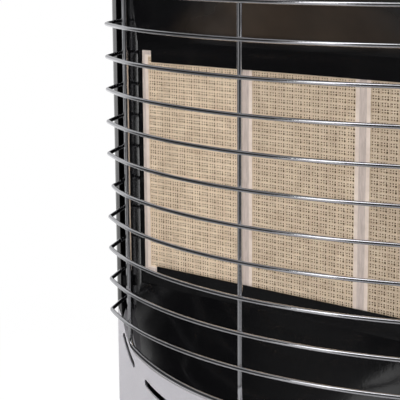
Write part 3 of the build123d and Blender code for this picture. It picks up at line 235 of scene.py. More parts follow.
def black_with_painted_reflection():
    """The gloss enamel over the burner, with a painted brown reflection of the plaques arched over
    its middle.
    """
    made, tree, s = nodes_of("enamel_with_painted_reflection")
    enamel_surface(tree, s, 0.1, 0.22)
    spot = split_xyz(tree, place(tree))
    wander = spread(tree, noise(tree, 11, 4), -PAINTED_REFLECTION_WANDER, PAINTED_REFLECTION_WANDER)
    side = math_node(tree, "ADD", math_node(tree, "ABSOLUTE", spot["X"], 0), wander)
    bow = math_node(tree, "MULTIPLY", math_node(tree, "POWER", spot["X"], 2), PAINTED_REFLECTION_ARCH)
    arch = math_node(tree, "ADD", spot["Z"], bow)
    middle = spread(tree, side, 1.0, 0.0, *PAINTED_REFLECTION_HALF_WIDTH)
    over_lip = spread(tree, spot["Z"], 0.0, 1.0, *PAINTED_REFLECTION_LIP_Z)
    under_top = spread(tree, arch, 1.0, 0.0, *PAINTED_REFLECTION_TOP_Z)
    patches = spread(tree, noise(tree, 23, 5), 0.6, 1.0)
    # Where the reflection is painted: over the lip, under an arched top, in patches, towards the
    # middle.
    painted_reflection = math_node(tree, "MULTIPLY", over_lip, under_top, patches, middle)
    feed(tree, s, Base_Color=tint(tree, painted_reflection, BLACK_ENAMEL, PAINTED_REFLECTION_BROWN, 0.0, 1.0))
    return made


def satin_black():
    """Satin black powder coat with a fine orange peel."""
    made, tree, s = nodes_of("black_satin_enamel")
    colour = tint(tree, noise(tree, 9, 4), (0.012, 0.012, 0.0125), (0.018, 0.018, 0.019))
    feed(tree, s, Base_Color=colour, Roughness=spread(tree, noise(tree, 60, 4), 0.34, 0.48))
    bump(tree, s, [(noise(tree, 1300, 3), 0.00008), (noise(tree, 30, 1), 0.0002)])
    return made


def moulded_black(name, scale, depth, low, high):
    """Moulded plastic: a leather-like grain and slightly polished patches."""
    made, tree, s = nodes_of(name)
    colour = tint(tree, noise(tree, 14, 4), (0.013, 0.013, 0.014), (0.022, 0.022, 0.023))
    feed(tree, s, Base_Color=colour, Roughness=spread(tree, noise(tree, 45, 4), low, high))
    grain = cells(tree, scale, feature="SMOOTH_F1")
    bump(tree, s, [(grain, depth), (noise(tree, scale / 2, 2), depth / 2)])
    return made


def chrome(name, colour=(0.66, 0.66, 0.69), low=0.04, high=0.12):
    """Bright plating with slightly dulled patches."""
    made, tree, s = nodes_of(name)
    finish_of(s, Metallic=1.0)
    tone = tint(tree, noise(tree, 70, 4), tuple(c * 0.86 for c in colour), colour)
    feed(tree, s, Base_Color=tone, Roughness=spread(tree, noise(tree, 160, 4), low, high))
    bump(tree, s, [(noise(tree, 500, 3), 0.00004)])
    return made


def zinc_sheet(name, colour, spangle):
    """Galvanised or aluminised sheet: large flat crystals with different shine."""
    made, tree, s = nodes_of(name)
    finish_of(s, Metallic=1.0)
    crystals = cell_values(tree, spangle)
    tone = tint(tree, crystals[0], tuple(c * 0.72 for c in colour), colour, 0.0, 1.0)
    feed(tree, s, Base_Color=tone, Roughness=spread(tree, crystals[1], 0.30, 0.52, 0.0, 1.0))
    bump(tree, s, [(noise(tree, 250, 3), 0.00005)])
    return made


def drawn_metal(name, colour, low, high, stretch=(1, 1, 0.06)):
    """Metal with the fine streaks of drawing or turning."""
    made, tree, s = nodes_of(name)
    finish_of(s, Metallic=1.0)
    streaks = noise(tree, 1400, 3, stretch)
    tone = tint(tree, noise(tree, 60, 4), tuple(c * 0.78 for c in colour), colour)
    feed(tree, s, Base_Color=tone, Roughness=spread(tree, streaks, low, high))
    bump(tree, s, [(streaks, FINE_BUMP)])
    return made


def fired_ceramic(name, dark, light, pore_scale, pore_depth):
    """Matt porous ceramic: mottling, small pores and a soft unevenness."""
    made, tree, s = nodes_of(name)
    finish_of(s, Roughness=0.93, Specular_IOR_Level=0.25)
    feed(tree, s, Base_Color=tint(tree, noise(tree, 95, 5, rough=0.65), dark, light, 0.32, 0.66))
    pores = cells(tree, pore_scale)
    bump(tree, s, [(pores, pore_depth), (noise(tree, pore_scale / 3, 4), pore_depth)])
    return made


def fibre():
    """Pressed ceramic fibre with upright strands."""
    made, tree, s = nodes_of("fibre_gasket")
    finish_of(s, Roughness=0.97, Specular_IOR_Level=0.15)
    strands = noise(tree, 900, 5, (1, 1, 0.12), 0.7)
    tone = tint(tree, strands, (0.47, 0.395, 0.355), (0.63, 0.535, 0.49), 0.35, 0.65)
    feed(tree, s, Base_Color=tone)
    bump(tree, s, [(strands, 0.0002)])
    return made


def tyre_tread():
    """Dusty, hard moulded rubber."""
    made, tree, s = nodes_of("wheel_rubber")
    tone = tint(tree, noise(tree, 120, 4), (0.028, 0.027, 0.027), (0.06, 0.058, 0.056))
    feed(tree, s, Base_Color=tone, Roughness=spread(tree, noise(tree, 90, 4), 0.5, 0.75))
    bump(tree, s, [(noise(tree, 900, 3), 0.00012)])
    return made


def glazed(name, dark, light, rough):
    """A smooth, slightly uneven pale surface under a thin gloss."""
    made, tree, s = nodes_of(name)
    finish_of(s, Coat_Weight=0.3, Coat_Roughness=0.15)
    shine = spread(tree, noise(tree, 200, 3), rough - 0.07, rough + 0.07)
    feed(tree, s, Base_Color=tint(tree, noise(tree, 110, 4), dark, light), Roughness=shine)
    bump(tree, s, [(noise(tree, 700, 2), FINE_BUMP)])
    return made


BEIGE_DARK, BEIGE_LIGHT = (0.68, 0.54, 0.40), (0.84, 0.695, 0.53)
BEIGE_PORES = (2400, 0.00008)
finishes = {
    "silver_enamel": silver_enamel(),
    "black_gloss_enamel": gloss_black(),
    "black_satin_enamel": satin_black(),
    "black_moulding": moulded_black("black_moulding", 1500, 0.00012, 0.38, 0.52),
    "knob_plastic": moulded_black("knob_plastic", 2200, 0.00006, 0.28, 0.42),
    "igniter_plastic": glazed("igniter_plastic", (0.62, 0.61, 0.57), (0.74, 0.73, 0.69), 0.45),
    "chromed_wire": chrome("chromed_wire"),
    "bright_screws": chrome("bright_screws", (0.62, 0.61, 0.58), 0.18, 0.34),
    "galvanised_steel": zinc_sheet("galvanised_steel", (0.52, 0.53, 0.545), 90),
    "aluminised_steel": zinc_sheet("aluminised_steel", (0.50, 0.49, 0.48), 260),
    "burner_ceramic": fired_ceramic("burner_ceramic", BEIGE_DARK, BEIGE_LIGHT, *BEIGE_PORES),
    "fibre_gasket": fibre(),
    "gas_pipe_metal": drawn_metal("gas_pipe_metal", (0.58, 0.58, 0.59), 0.2, 0.38),
    "brass": drawn_metal("brass", (0.72, 0.53, 0.25), 0.16, 0.32, (0.1, 0.1, 1)),
    "cast_alloy": zinc_sheet("cast_alloy", (0.56, 0.56, 0.57), 1400),
    "electrode_ceramic": glazed("electrode_ceramic", (0.80, 0.79, 0.75), (0.88, 0.87, 0.84), 0.2),
    "castor_plastic": moulded_black("castor_plastic", 1800, 0.00008, 0.36, 0.5),
    "wheel_rubber": tyre_tread(),
}
plaque_rim = fired_ceramic("plaque_rim", (0.67, 0.56, 0.495), (0.80, 0.69, 0.61), 2600, 0.00005)
# Painted shade: the pits' dark brown stands in for the shadow deep inside the holes.
pit_painted_shade = fired_ceramic("pit_painted_shade", (0.20, 0.145, 0.09), (0.34, 0.255, 0.165), 2400, 0.0001)
dial_print = glazed("dial_print", (0.66, 0.66, 0.65), (0.80, 0.80, 0.79), 0.45)

for part in frame["record"]["subparts"]:
    data = frame["nodes"][part["node"]].data
    data.materials.clear()
    data.materials.append(finishes[part["material_slot"]])
# The enamel over the burner carries the painted brown reflection of the plaques.
frame["nodes"]["upper_reflector"].data.materials[0] = black_with_painted_reflection()


# ---------------------------------------------------------------- mesh helpers
def piece(name, points, faces, slots, body="cabinet", smooth=False, which=None):
    """A mesh piece that rides on a body, with its material slots."""
    data = bpy.data.meshes.new(name)
    data.from_pydata([tuple(p) for p in points], [], faces)
    for material in slots:
        data.materials.append(material)
    if which is not None:
        data.polygons.foreach_set("material_index", which)
    if smooth:
        data.polygons.foreach_set("use_smooth", [True] * len(data.polygons))
    data.validate()
    made = bpy.data.objects.new(name, data)
    bpy.context.scene.collection.objects.link(made)
    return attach(made, body)


def tube(path, radius, closed=False, sides=14):
    """Rings round a path, carried along it without twist, as points and faces."""
    path = np.asarray(path, float)
    if closed:
        along = np.roll(path, -1, 0) - np.roll(path, 1, 0)
    else:
        along = np.gradient(path, axis=0)
    along /= np.linalg.norm(along, axis=1)[:, None]
    across = np.cross(along[0], (0, 0, 1) if abs(along[0][2]) < 0.9 else (1, 0, 0))
    normals = []
    for direction in along:
        across = across - direction * (across @ direction)
        across /= np.linalg.norm(across)
        normals.append(across)
    normals = np.array(normals)
    others = np.cross(along, normals)
    turn = np.zeros(len(path))
    if closed:
        back = normals[-1] - along[0] * (normals[-1] @ along[0])
        slip = math.atan2(back @ others[0], back @ normals[0])
        turn = -slip * np.arange(len(path)) / len(path)
    angle = np.linspace(0, 2 * math.pi, sides, endpoint=False)[None, :] + turn[:, None]
    ring = np.cos(angle)[..., None] * normals[:, None] + np.sin(angle)[..., None] * others[:, None]
    points = (path[:, None] + radius * ring).reshape(-1, 3)
    count = len(path)
    faces = []
    for i in range(count if closed else count - 1):
        a, b = i * sides, (i + 1) % count * sides
        faces += [[a + k, a + (k + 1) % sides, b + (k + 1) % sides, b + k] for k in range(sides)]
    if not closed:
        faces += [list(range(sides))[::-1], list(range((count - 1) * sides, count * sides))]
    return points, faces


def gather(shapes):
    """Several (points, faces) pairs as one."""
    points, faces, start = [], [], 0
    for p, f in shapes:
        points.append(p)
        faces += [[i + start for i in face] for face in f]
        start += len(p)
    return np.concatenate(points), faces


def bow_point(radius, angle, z=0.0):
    """A place on the guard's bow, by its angle from straight ahead."""
    return np.array([radius * math.sin(angle), BOW_CENTRE_Y - radius * math.cos(angle), z])


def arc(centre, radius, start, end, count):
    """Points of a level arc, measured from straight ahead."""
    return [
        centre + radius * np.array([math.sin(a), -math.cos(a), 0.0])
        for a in np.linspace(start, end, count)
    ]


# ---------------------------------------------------------------- wire guard
# The loop's corners follow the photo. The solid's are wider: sag 0.0125, bend 0.014.
FRAME_SAG = 0.010
FRAME_BEND = 0.007

BOW_STEPS = 44
BEND_STEPS = 9
LEG_SHARES = (0.35, 0.7, 1.0)
RAIL_STEPS = 28
UPRIGHT_STEPS = 24
STICK_STEPS = 20

# The fifth wire from below has its left bend pushed a little inwards, as in the photo.
SLACK_WIRE = 5
HOOK_SLACK = 0.0045
SLACK_START_X = 0.13
SLACK_RUN = 0.05
SLACK_HOLD = 0.02
SLACK_BACK = 0.4
SLACK_DROP = 0.0006

WELD_RADIUS = 0.0013
WELD_FLAT = 0.0012
WELD_SIDE = 0.0013
WELD_SQUASH = 0.62
WELD_RINGS, WELD_SIDES = 6, 10


def bow_wire(z, hook_slack=0.0):
    """One bowed wire with a tight bend at each end and a leg aimed at the rod."""
    bow = math.asin(BOW_HALF_WIDTH / GUARD_RADIUS)
    line = arc(np.array([0.0, BOW_CENTRE_Y, z]), GUARD_RADIUS, 0, bow, BOW_STEPS)
    centre = line[-1] + np.array([-math.sin(bow), math.cos(bow), 0.0]) * HOOK_RADIUS
    across, along = ROD_X - centre[0], ROD_Y - centre[1]
    leg = math.sqrt(across**2 + along**2 - HOOK_RADIUS**2)
    hook = math.atan2(along, across) + math.atan2(HOOK_RADIUS, leg)
    line += arc(centre, HOOK_RADIUS, bow, hook, BEND_STEPS)[1:]
    aim = np.array([math.cos(hook), math.sin(hook), 0.0]) * (leg - ROD_RADIUS)
    line += [line[-1] + aim * share for share in LEG_SHARES]
    right = np.array(line)
    left = right[:0:-1] * (-1, 1, 1)
    if hook_slack:
        pull = np.clip((-left[:, 0] - SLACK_START_X) / SLACK_RUN, 0, 1) ** 2
        hold = np.clip((ROD_Y - left[:, 1]) / SLACK_HOLD, 0, 1)
        shift = np.array([hook_slack, hook_slack * SLACK_BACK, -SLACK_DROP])
        left = left + (pull * hold)[:, None] * shift
    return np.concatenate([left, right])


def guard_loop():
    """The closed frame wire: two bowed rails, four bends and two uprights."""
    upright = math.asin(UPRIGHT_X / UPRIGHT_RADIUS)
    tilt = math.atan2(2 * FRAME_SAG, UPRIGHT_RADIUS * upright)
    run = FRAME_BEND * (1 - math.sin(tilt))
    rail_radius = math.sqrt(UPRIGHT_RADIUS**2 - run**2)
    rail = upright - math.atan2(run, rail_radius)
    away = np.array([math.cos(rail), math.sin(rail), 0.0])
    foot = GUARD_BOTTOM_Z - FRAME_DROP
    shares = np.linspace(0, 1, RAIL_STEPS)
    half = [bow_point(rail_radius, s * rail, foot + FRAME_SAG * s**2) for s in shares]
    corner = half[-1]
    for a in np.linspace(tilt, math.pi / 2, BEND_STEPS)[1:]:
        climb = np.array([0, 0, math.cos(tilt) - math.cos(a)])
        half.append(corner + FRAME_BEND * (away * (math.sin(a) - math.sin(tilt)) + climb))
    side = half[-1]
    both_ends = GUARD_BOTTOM_Z + GUARD_TOP_Z
    heights = np.linspace(side[2], both_ends - side[2], UPRIGHT_STEPS)[1:-1]
    lower = np.array(half)
    upper = lower * (1, 1, -1) + (0, 0, both_ends)
    climb = np.array([[side[0], side[1], z] for z in heights])
    right = np.concatenate([lower, climb, upper[::-1]])
    return np.concatenate([right, (right * (-1, 1, 1))[::-1][1:-1]])


def stick(x, y, low, high, radius):
    """A straight upright wire."""
    return tube([(x, y, z) for z in np.linspace(low, high, STICK_STEPS)], radius)


def nugget(point, outward):
    """A weld: a flattened bead squeezed out where two wires cross."""
    points, faces = [], []
    across = np.cross(outward, (0, 0, 1))
    for i in range(1, WELD_RINGS):
        a = math.pi * i / WELD_RINGS
        for k in range(WELD_SIDES):
            b = 2 * math.pi * k / WELD_SIDES
            around = across * math.cos(b) + np.array([0, 0, WELD_SQUASH * math.sin(b)])
            bulge = outward * WELD_FLAT * math.cos(a)
            points.append(point + bulge + WELD_RADIUS * math.sin(a) * around)
    points += [point + outward * WELD_FLAT, point - outward * WELD_FLAT]
    top, foot = len(points) - 2, len(points) - 1
    last = (WELD_RINGS - 2) * WELD_SIDES
    for start in range(0, last, WELD_SIDES):
        for k in range(WELD_SIDES):
            a, b = start + k, start + (k + 1) % WELD_SIDES
            faces.append([a, b, b + WELD_SIDES, a + WELD_SIDES])
    for k in range(WELD_SIDES):
        n = (k + 1) % WELD_SIDES
        faces.append([top, n, k])
        faces.append([last + k, last + n, foot])
    return np.array(points), faces


def chromed(name, shapes, replaced=None):
    """A piece of the guard, which stands in for a CAD node if one is named."""
    made = piece(name, *gather(shapes), [finishes["chromed_wire"]], smooth=True)
    if replaced:
        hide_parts(replaced)


wire_shapes, weld_shapes = [], []
loop_half = math.asin(UPRIGHT_X / UPRIGHT_RADIUS)
seam_radius = GUARD_RADIUS - WIRE_RADIUS
for number in range(1, WIRE_COUNT + 1):
    height = GUARD_BOTTOM_Z + number * GUARD_PITCH
    slack = HOOK_SLACK if number == SLACK_WIRE else 0.0
    wire_shapes.append(tube(bow_wire(height, slack), WIRE_RADIUS))
    for angle in (-loop_half, 0, loop_half):
        out = np.array([math.sin(angle), -math.cos(angle), 0.0])
        sideways = np.array([math.cos(angle), math.sin(angle), 0.0])
        for side in (-1, 1):
            spot = bow_point(seam_radius, angle, height) + sideways * side * WELD_SIDE
            weld_shapes.append(nugget(spot, out))
chromed("guard_bow_wires", wire_shapes, "guard_wires")

middle_y = BOW_CENTRE_Y - UPRIGHT_RADIUS
loop_shapes = [
    tube(guard_loop(), FRAME_WIRE_RADIUS, closed=True),
    stick(0, middle_y, GUARD_BOTTOM_Z - FRAME_DROP, GUARD_TOP_Z + FRAME_DROP, FRAME_WIRE_RADIUS),
]
for side in (-1, 1):
    low, high = GUARD_BOTTOM_Z + ROD_TRIM, GUARD_TOP_Z - ROD_TRIM
    loop_shapes.append(stick(side * ROD_X, ROD_Y, low, high, ROD_RADIUS))
chromed("guard_loop_and_rods", loop_shapes, "guard_frame")
chromed("guard_welds", weld_shapes)


# ---------------------------------------------------------------- perforated plaques
CELL = (0.0075, 0.0044)
CELL_COUNT = (12, 37)
RIDGE = 0.00042
WALL_LEAN = 0.0001
CELL_DEPTH = 0.00055
GROOVE_DEPTH = 0.00012
CELL_WOBBLE = 0.00003
HOLE_COLUMNS = 3
HOLE_RADIUS = 0.00052
END_HOLE_RADIUS = 0.00078
PIT_DEPTH = 0.0026
PIT_TAPER = 0.9
# Painted shade: each plaque's colour is darkened further to the right, standing in for the light
# falling off there.
PLAQUE_PAINTED_SHADE = (1.0, 0.91, 0.81)
JOIN_GRID = 2e7
# The pit slot takes the pits' painted shade.
FACE_SLOT, RIM_SLOT, PIT_SLOT = 0, 1, 2


def hole_tile(x0, x1, z0, z1, y, radius):
    """A flat tile with an eight-sided pit in its middle."""
    cx, cz = (x0 + x1) / 2, (z0 + z1) / 2
    rim = [(x0, z0), (cx, z0), (x1, z0), (x1, cz), (x1, z1), (cx, z1), (x0, z1), (x0, cz)]
    turns = [math.radians(225 + 45 * k) for k in range(8)]
    mouth = [(cx + radius * math.cos(a), cz + radius * math.sin(a)) for a in turns]
    points = [(x, y, z) for x, z in rim] + [(x, y, z) for x, z in mouth]
    points += [
        (cx + PIT_TAPER * (x - cx), y + PIT_DEPTH, cz + PIT_TAPER * (z - cz)) for x, z in mouth
    ]
    faces, which = [], []
    for k in range(8):
        n = (k + 1) % 8
        faces += [[k, n, 8 + n, 8 + k], [8 + k, 8 + n, 16 + n, 16 + k]]
        which += [FACE_SLOT, PIT_SLOT]
    faces.append(list(range(16, 24)))
    which.append(PIT_SLOT)
    return points, faces, which


def plaque_cell():
    """Six holes in two rows inside a raised border; the lower row lies in a groove."""
    width, height = CELL
    points, faces, which = [], [], []

    def add(p, f, w):
        """Adds points, faces and the faces' slots to the cell."""
        start = len(points)
        points.extend(p)
        faces.extend([[i + start for i in face] for face in f])
        which.extend(w)

    x0, x1, z0, z1 = RIDGE, width - RIDGE, RIDGE, height - RIDGE
    left, right = x0 + WALL_LEAN, x1 - WALL_LEAN
    low, high = z0 + WALL_LEAN, z1 - WALL_LEAN
    z_mid = height / 2
    deep = CELL_DEPTH + GROOVE_DEPTH
    outer = [(0, 0, 0), (width, 0, 0), (width, 0, height), (0, 0, height)]
    inner = [(x0, 0, z0), (x1, 0, z0), (x1, 0, z1), (x0, 0, z1)]
    ring = [[0, 1, 5, 4], [1, 2, 6, 5], [2, 3, 7, 6], [3, 0, 4, 7]]
    add(outer + inner, ring, [FACE_SLOT] * 4)
    step = [
        (left, deep, low),
        (right, deep, low),
        (right, deep, z_mid),
        (right, CELL_DEPTH, z_mid),
        (right, CELL_DEPTH, high),
        (left, CELL_DEPTH, high),
        (left, CELL_DEPTH, z_mid),
        (left, deep, z_mid),
    ]
    walls = [[0, 1, 5, 4], [1, 2, 8, 7, 6, 5], [2, 3, 9, 8], [3, 0, 4, 11, 10, 9]]
    add(inner + step, walls, [FACE_SLOT] * 4)
    add([step[7], step[2], step[3], step[6]], [[0, 1, 2, 3]], [FACE_SLOT])
    columns = np.linspace(left, right, HOLE_COLUMNS + 1)
    for row, (foot, top, y) in enumerate([(low, z_mid, deep), (z_mid, high, CELL_DEPTH)]):
        for k in range(HOLE_COLUMNS):
            wide = row == 0 and k == HOLE_COLUMNS - 1
            radius = END_HOLE_RADIUS if wide else HOLE_RADIUS
            add(*hole_tile(columns[k], columns[k + 1], foot, top, y, radius))
    return np.array(points, float), faces, which


def border_quads(half_x, half_z):
    """The plain rim round the field and the plaque's sides, and the outline of its back."""
    nx, nz = CELL_COUNT
    thick = PLAQUE_SIZE[1]
    end_x, end_z = PLAQUE_SIZE[0] / 2, PLAQUE_SIZE[2] / 2
    xs = np.concatenate([[-end_x], np.arange(nx + 1) * CELL[0] - half_x, [end_x]])
    zs = np.concatenate([[-end_z], np.arange(nz + 1) * CELL[1] - half_z, [end_z]])
    square = ((0, 0), (1, 0), (1, 1), (0, 1))
    quads = []
    for i in range(nx + 2):
        for k in range(nz + 2):
            if i in (0, nx + 1) or k in (0, nz + 1):
                quads.append([(xs[i + a], 0, zs[k + b]) for a, b in square])
    edge = [(x, zs[0]) for x in xs] + [(xs[-1], z) for z in zs[1:]]
    edge += [(x, zs[-1]) for x in xs[-2::-1]] + [(xs[0], z) for z in zs[-2:0:-1]]
    for (ax, az), (bx, bz) in zip(edge, edge[1:] + edge[:1]):
        quads.append([(ax, 0, az), (ax, thick, az), (bx, thick, bz), (bx, 0, bz)])
    return quads, [(x, thick, z) for x, z in edge]


def plaque(number, centre_x):
    """A plaque: a field of cells, a plain rim, sides and back, joined into one closed skin."""
    # The plaque's colour darkened by its share of the painted shade.
    tone = PLAQUE_PAINTED_SHADE[number - 1]
    dark, light = (tuple(tone * c for c in colour) for colour in (BEIGE_DARK, BEIGE_LIGHT))
    face_finish = fired_ceramic(f"burner_ceramic_{number}", dark, light, *BEIGE_PORES)
    cell_points, cell_faces, cell_which = plaque_cell()
    nx, nz = CELL_COUNT
    half_x, half_z = nx * CELL[0] / 2, nz * CELL[1] / 2
    points, faces, which = [], [], []
    start = 0
    for i in range(nx):
        for k in range(nz):
            wobble = rng.normal(0, CELL_WOBBLE, 3) * (0, 1, 0)
            corner = np.array([i * CELL[0] - half_x, 0.0, k * CELL[1] - half_z])
            points.append(cell_points + corner + wobble * (cell_points[:, 1:2] > 0))
            faces += [[a + start for a in face] for face in cell_faces]
            which += cell_which
            start += len(cell_points)
    quads, back = border_quads(half_x, half_z)
    for shape in quads + [back]:
        order = list(range(start, start + len(shape)))
        points.append(np.array(shape, float))
        faces.append(order[::-1] if shape is back else order)
        which.append(RIM_SLOT)
        start += len(shape)
    every = np.concatenate(points)
    rounded = np.round(every * JOIN_GRID).astype(np.int64)
    _, first, joined = np.unique(rounded, axis=0, return_index=True, return_inverse=True)
    joined = joined.reshape(-1)
    welded = every[first] + (centre_x, PLAQUE_Y, BURNER_Z)
    faces = [[int(joined[a]) for a in face] for face in faces]
    slots = [face_finish, plaque_rim, pit_painted_shade]
    made = piece(f"plaque_face_{number}", welded, faces, slots, which=which)
    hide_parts(f"ceramic_plaque_{number}")


for number in (1, 2, 3):
    plaque(number, (number - 2) * PLAQUE_PITCH)


# ---------------------------------------------------------------- the dial's numbers
PRINT_HEIGHT = 0.00006
DIAL_RADIUS = 0.0275
DIAL_TEXT = 0.0072


def flat_text(name, words, x, y, size):
    """Raised print on the floor of the control panel."""
    curve = bpy.data.curves.new(name, "FONT")
    curve.body = words
    curve.size = size
    curve.align_x = "CENTER"
    curve.align_y = "CENTER"
    curve.extrude = PRINT_HEIGHT
    made = bpy.data.objects.new(name, curve)
    bpy.context.scene.collection.objects.link(made)
    made.location = (x, y, PANEL_FLOOR_Z + PRINT_HEIGHT)
    bpy.context.view_layer.update()
    shaped = made.evaluated_get(bpy.context.evaluated_depsgraph_get())
    mesh = bpy.data.meshes.new_from_object(shaped)
    mesh.transform(made.matrix_world)
    bpy.data.objects.remove(made)
    printed = bpy.data.objects.new(name, mesh)
    mesh.materials.clear()
    mesh.materials.append(dial_print)
    bpy.context.scene.collection.objects.link(printed)
    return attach(printed, "cabinet")


for mark, degrees in (("0", 0), ("1", 90), ("2", 180), ("3", 270)):
    a = math.radians(degrees)
    x = KNOB_AXIS[0] + DIAL_RADIUS * math.cos(a)
    y = KNOB_AXIS[1] + DIAL_RADIUS * math.sin(a)
    flat_text(f"dial_{mark}", mark, x, y, DIAL_TEXT)


# ---------------------------------------------------------------- floor, lights, world, camera
FLOOR_HALF = 40.0
FLOOR_GREY = (0.80, 0.80, 0.80)
FADE_TO_WHITE = (0.55, 1.7)
CAMERA_LIFT = 0.30
SEEN_RAYS = ("Is Camera Ray", "Is Transmission Ray")

# The backdrop stands behind, slightly to the left: the direction towards it, as X and Y.
BACKDROP_X, BACKDROP_Y = -0.08, 0.997

# How strong the floor looks in mirrors. Pairs are distances or angles where a glow fades.
FLOOR_BACKDROP = (0.05, 0.95, -0.3, 0.9)
DISC_GLOW, DISC_EDGE = 0.5, (0.75, 0.95)
RING_GLOW, RING_INNER, RING_OUTER = 0.28, (0.9, 1.3), (1.6, 2.3)
POOL_GLOW, POOL_LEFT, POOL_RIGHT = 0.6, (-27, -23), (-6, -2)

# How strong the world looks in mirrors and on matt surfaces.
WORLD_BACKDROP = (0.012, 0.60, -0.12, 0.2)
WORLD_ABOVE = (0.0, 0.4, 0.45, 0.8)
WORLD_MATT = 0.336

CAMERA_TURN = (41.8948, 11.1920, -0.41236)
CAMERA_PLACE = (0.583413, -0.885088, 0.705)
CAMERA_LENS = 125.121
CAMERA_SENSOR = 36.0
CAMERA_CLIP = (0.05, 200.0)


def seen_directly(tree, path):
    """One for the camera's rays and for those that went through a surface."""
    return math_node(tree, "MAXIMUM", *(path.outputs[name] for name in SEEN_RAYS))


def towards_backdrop(tree, spot):
    """How far a place or direction lies towards the backdrop."""
    across = math_node(tree, "MULTIPLY", spot["X"], BACKDROP_X)
    return math_node(tree, "ADD", math_node(tree, "MULTIPLY", spot["Y"], BACKDROP_Y), across)


def mirrored_floor(tree, spot, distance):
    """The floor in mirrors: bright behind, with a disc, a ring and a pool at the front left."""
    behind = spread(tree, towards_backdrop(tree, spot), *FLOOR_BACKDROP, smooth=True)
    disc = spread(tree, distance, DISC_GLOW, 0.0, *DISC_EDGE)
    ring_in = spread(tree, distance, 0.0, 1.0, *RING_INNER)
    ring_out = spread(tree, distance, RING_GLOW, 0.0, *RING_OUTER)
    ring = math_node(tree, "MULTIPLY", ring_in, ring_out)
    turn = math_node(tree, "ARCTAN2", spot["X"], math_node(tree, "MULTIPLY", spot["Y"], -1))
    rise = spread(tree, turn, 0.0, 1.0, *(math.radians(a) for a in POOL_LEFT))
    fall = spread(tree, turn, 1.0, 0.0, *(math.radians(a) for a in POOL_RIGHT))
    pool = math_node(tree, "MULTIPLY", rise, fall, POOL_GLOW)
    return math_node(tree, "MAXIMUM", behind, ring, disc, pool)


def mixed(tree, share, first, second):
    """Two shaders mixed by a share."""
    mix = tree.nodes.new("ShaderNodeMixShader")
    for socket, source in zip(mix.inputs, (share, first, second)):
        tree.links.new(source, socket)
    return mix.outputs[0]


def glow(tree, strength=None):
    """White light given off by a surface, with a strength of one if none is given."""
    light = tree.nodes.new("ShaderNodeEmission")
    if strength is not None:
        tree.links.new(strength, light.inputs["Strength"])
    return light.outputs[0]


def make_floor():
    """A pale floor. Seen directly it fades to white further out; mirrors see it lit apart."""
    data = bpy.data.meshes.new("floor")
    corners = ((-1, -1), (1, -1), (1, 1), (-1, 1))
    data.from_pydata([(x * FLOOR_HALF, y * FLOOR_HALF, 0) for x, y in corners], [], [[0, 1, 2, 3]])
    floor = bpy.data.objects.new("floor", data)
    bpy.context.scene.collection.objects.link(floor)
    made, tree, shader = nodes_of("pale_floor")
    finish_of(shader, Base_Color=FLOOR_GREY, Roughness=0.9)
    spot = tree.nodes.new("ShaderNodeTexCoord").outputs["Object"]
    length = tree.nodes.new("ShaderNodeVectorMath")
    length.operation = "LENGTH"
    tree.links.new(spot, length.inputs[0])
    distance = length.outputs["Value"]
    path = tree.nodes.new("ShaderNodeLightPath")
    seen = seen_directly(tree, path)
    near = tree.nodes.new("ShaderNodeAddShader")
    tree.links.new(shader.outputs[0], near.inputs[0])
    tree.links.new(glow(tree, math_node(tree, "MULTIPLY", seen, CAMERA_LIFT)), near.inputs[1])
    far = spread(tree, distance, 0.0, 1.0, *FADE_TO_WHITE, smooth=True)
    white = math_node(tree, "MULTIPLY", seen, far)
    plain = mixed(tree, white, near.outputs[0], glow(tree))
    mirrored = glow(tree, mirrored_floor(tree, split_xyz(tree, spot), distance))
    out = next(n for n in tree.nodes if n.type == "OUTPUT_MATERIAL")
    tree.links.new(mixed(tree, path.outputs["Is Glossy Ray"], plain, mirrored), out.inputs[0])
    data.materials.append(made)


def area_lamp(name, place_at, aim, width, height, radiance, tone=(1, 1, 1), mirrored=True):
    """A rectangular lamp aimed at a point, with its brightness for each square metre."""
    lamp = bpy.data.lights.new(name, "AREA")
    lamp.shape = "RECTANGLE"
    lamp.size, lamp.size_y = width, height
    lamp.energy = radiance * math.pi * width * height
    lamp.color = tone
    made = bpy.data.objects.new(name, lamp)
    bpy.context.scene.collection.objects.link(made)
    made.location = place_at
    made.rotation_mode = "QUATERNION"
    made.rotation_quaternion = (Vector(aim) - Vector(place_at)).to_track_quat("-Z", "Y")
    made.visible_camera = False
    made.visible_glossy = mirrored


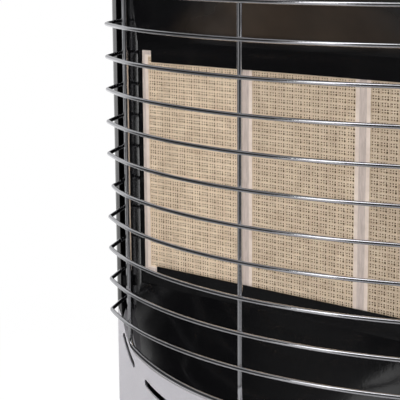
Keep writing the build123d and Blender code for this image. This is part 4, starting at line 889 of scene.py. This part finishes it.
def make_world():
    """White seen directly. Mirrors see a pale backdrop, a soft glow overhead and a dark room."""
    world = bpy.data.worlds.new("studio")
    bpy.context.scene.world = world
    world.use_nodes = True
    tree = world.node_tree
    tree.nodes.clear()
    out = tree.nodes.new("ShaderNodeOutputWorld")
    back = tree.nodes.new("ShaderNodeBackground")
    back.inputs["Color"].default_value = (1, 1, 1, 1)
    tree.links.new(back.outputs[0], out.inputs[0])
    spot = split_xyz(tree, tree.nodes.new("ShaderNodeTexCoord").outputs["Generated"])
    behind = spread(tree, towards_backdrop(tree, spot), *WORLD_BACKDROP, smooth=True)
    above = spread(tree, spot["Z"], *WORLD_ABOVE, smooth=True)
    path = tree.nodes.new("ShaderNodeLightPath")
    mirrored = math_node(tree, "MAXIMUM", behind, above)
    glossy = math_node(tree, "MULTIPLY", mirrored, path.outputs["Is Glossy Ray"])
    matt = math_node(tree, "MULTIPLY", path.outputs["Is Diffuse Ray"], WORLD_MATT)
    strength = math_node(tree, "MAXIMUM", seen_directly(tree, path), glossy, matt)
    tree.links.new(strength, back.inputs["Strength"])


def make_camera():
    """The photo's camera, fitted to the plaques, the guard's wires and the cabinet's edge."""
    azimuth, elevation, roll = (math.radians(a) for a in CAMERA_TURN)
    level = math.cos(elevation)
    back = Vector((math.sin(azimuth) * level, -math.cos(azimuth) * level, math.sin(elevation)))
    right = Vector((math.cos(azimuth), math.sin(azimuth), 0))
    up = right.cross(-back)
    tilted_right = right * math.cos(roll) + up * math.sin(roll)
    tilted_up = up * math.cos(roll) - right * math.sin(roll)
    data = bpy.data.cameras.new("camera")
    data.lens = CAMERA_LENS
    data.sensor_width = CAMERA_SENSOR
    data.clip_start, data.clip_end = CAMERA_CLIP
    camera = bpy.data.objects.new("camera", data)
    bpy.context.scene.collection.objects.link(camera)
    axes = zip(tilted_right, tilted_up, back)
    rows = [(*row, offset) for row, offset in zip(axes, CAMERA_PLACE)]
    camera.matrix_world = Matrix([*rows, (0, 0, 0, 1)])
    bpy.context.scene.camera = camera


make_floor()
LAMP_AIM = (0.0, -0.15, 0.5)
KEY_TONE = (1.0, 0.985, 0.97)
area_lamp("key", (-0.50, -1.85, 1.65), LAMP_AIM, 0.8, 1.9, 2.95, KEY_TONE, mirrored=False)
area_lamp("gleam", (-0.36, -1.60, 1.75), LAMP_AIM, 0.46, 2.6, 2.1)
area_lamp("front", (0.55, -2.6, 1.0), LAMP_AIM, 1.6, 1.6, 1.2, mirrored=False)
area_lamp("over", (0.1, -0.5, 2.9), (0, 0, 0.4), 2.2, 1.2, 3.2, mirrored=False)
area_lamp("left", (-2.4, -0.2, 1.3), LAMP_AIM, 1.0, 1.8, 2.4, mirrored=False)
area_lamp("right", (2.4, 0.2, 1.4), LAMP_AIM, 1.2, 1.8, 1.1)
area_lamp("rear", (0.4, 2.6, 1.6), (0, 0.1, 0.4), 1.6, 1.8, 1.8)
make_world()
make_camera()
bpy.context.scene.view_settings.view_transform = "Standard"
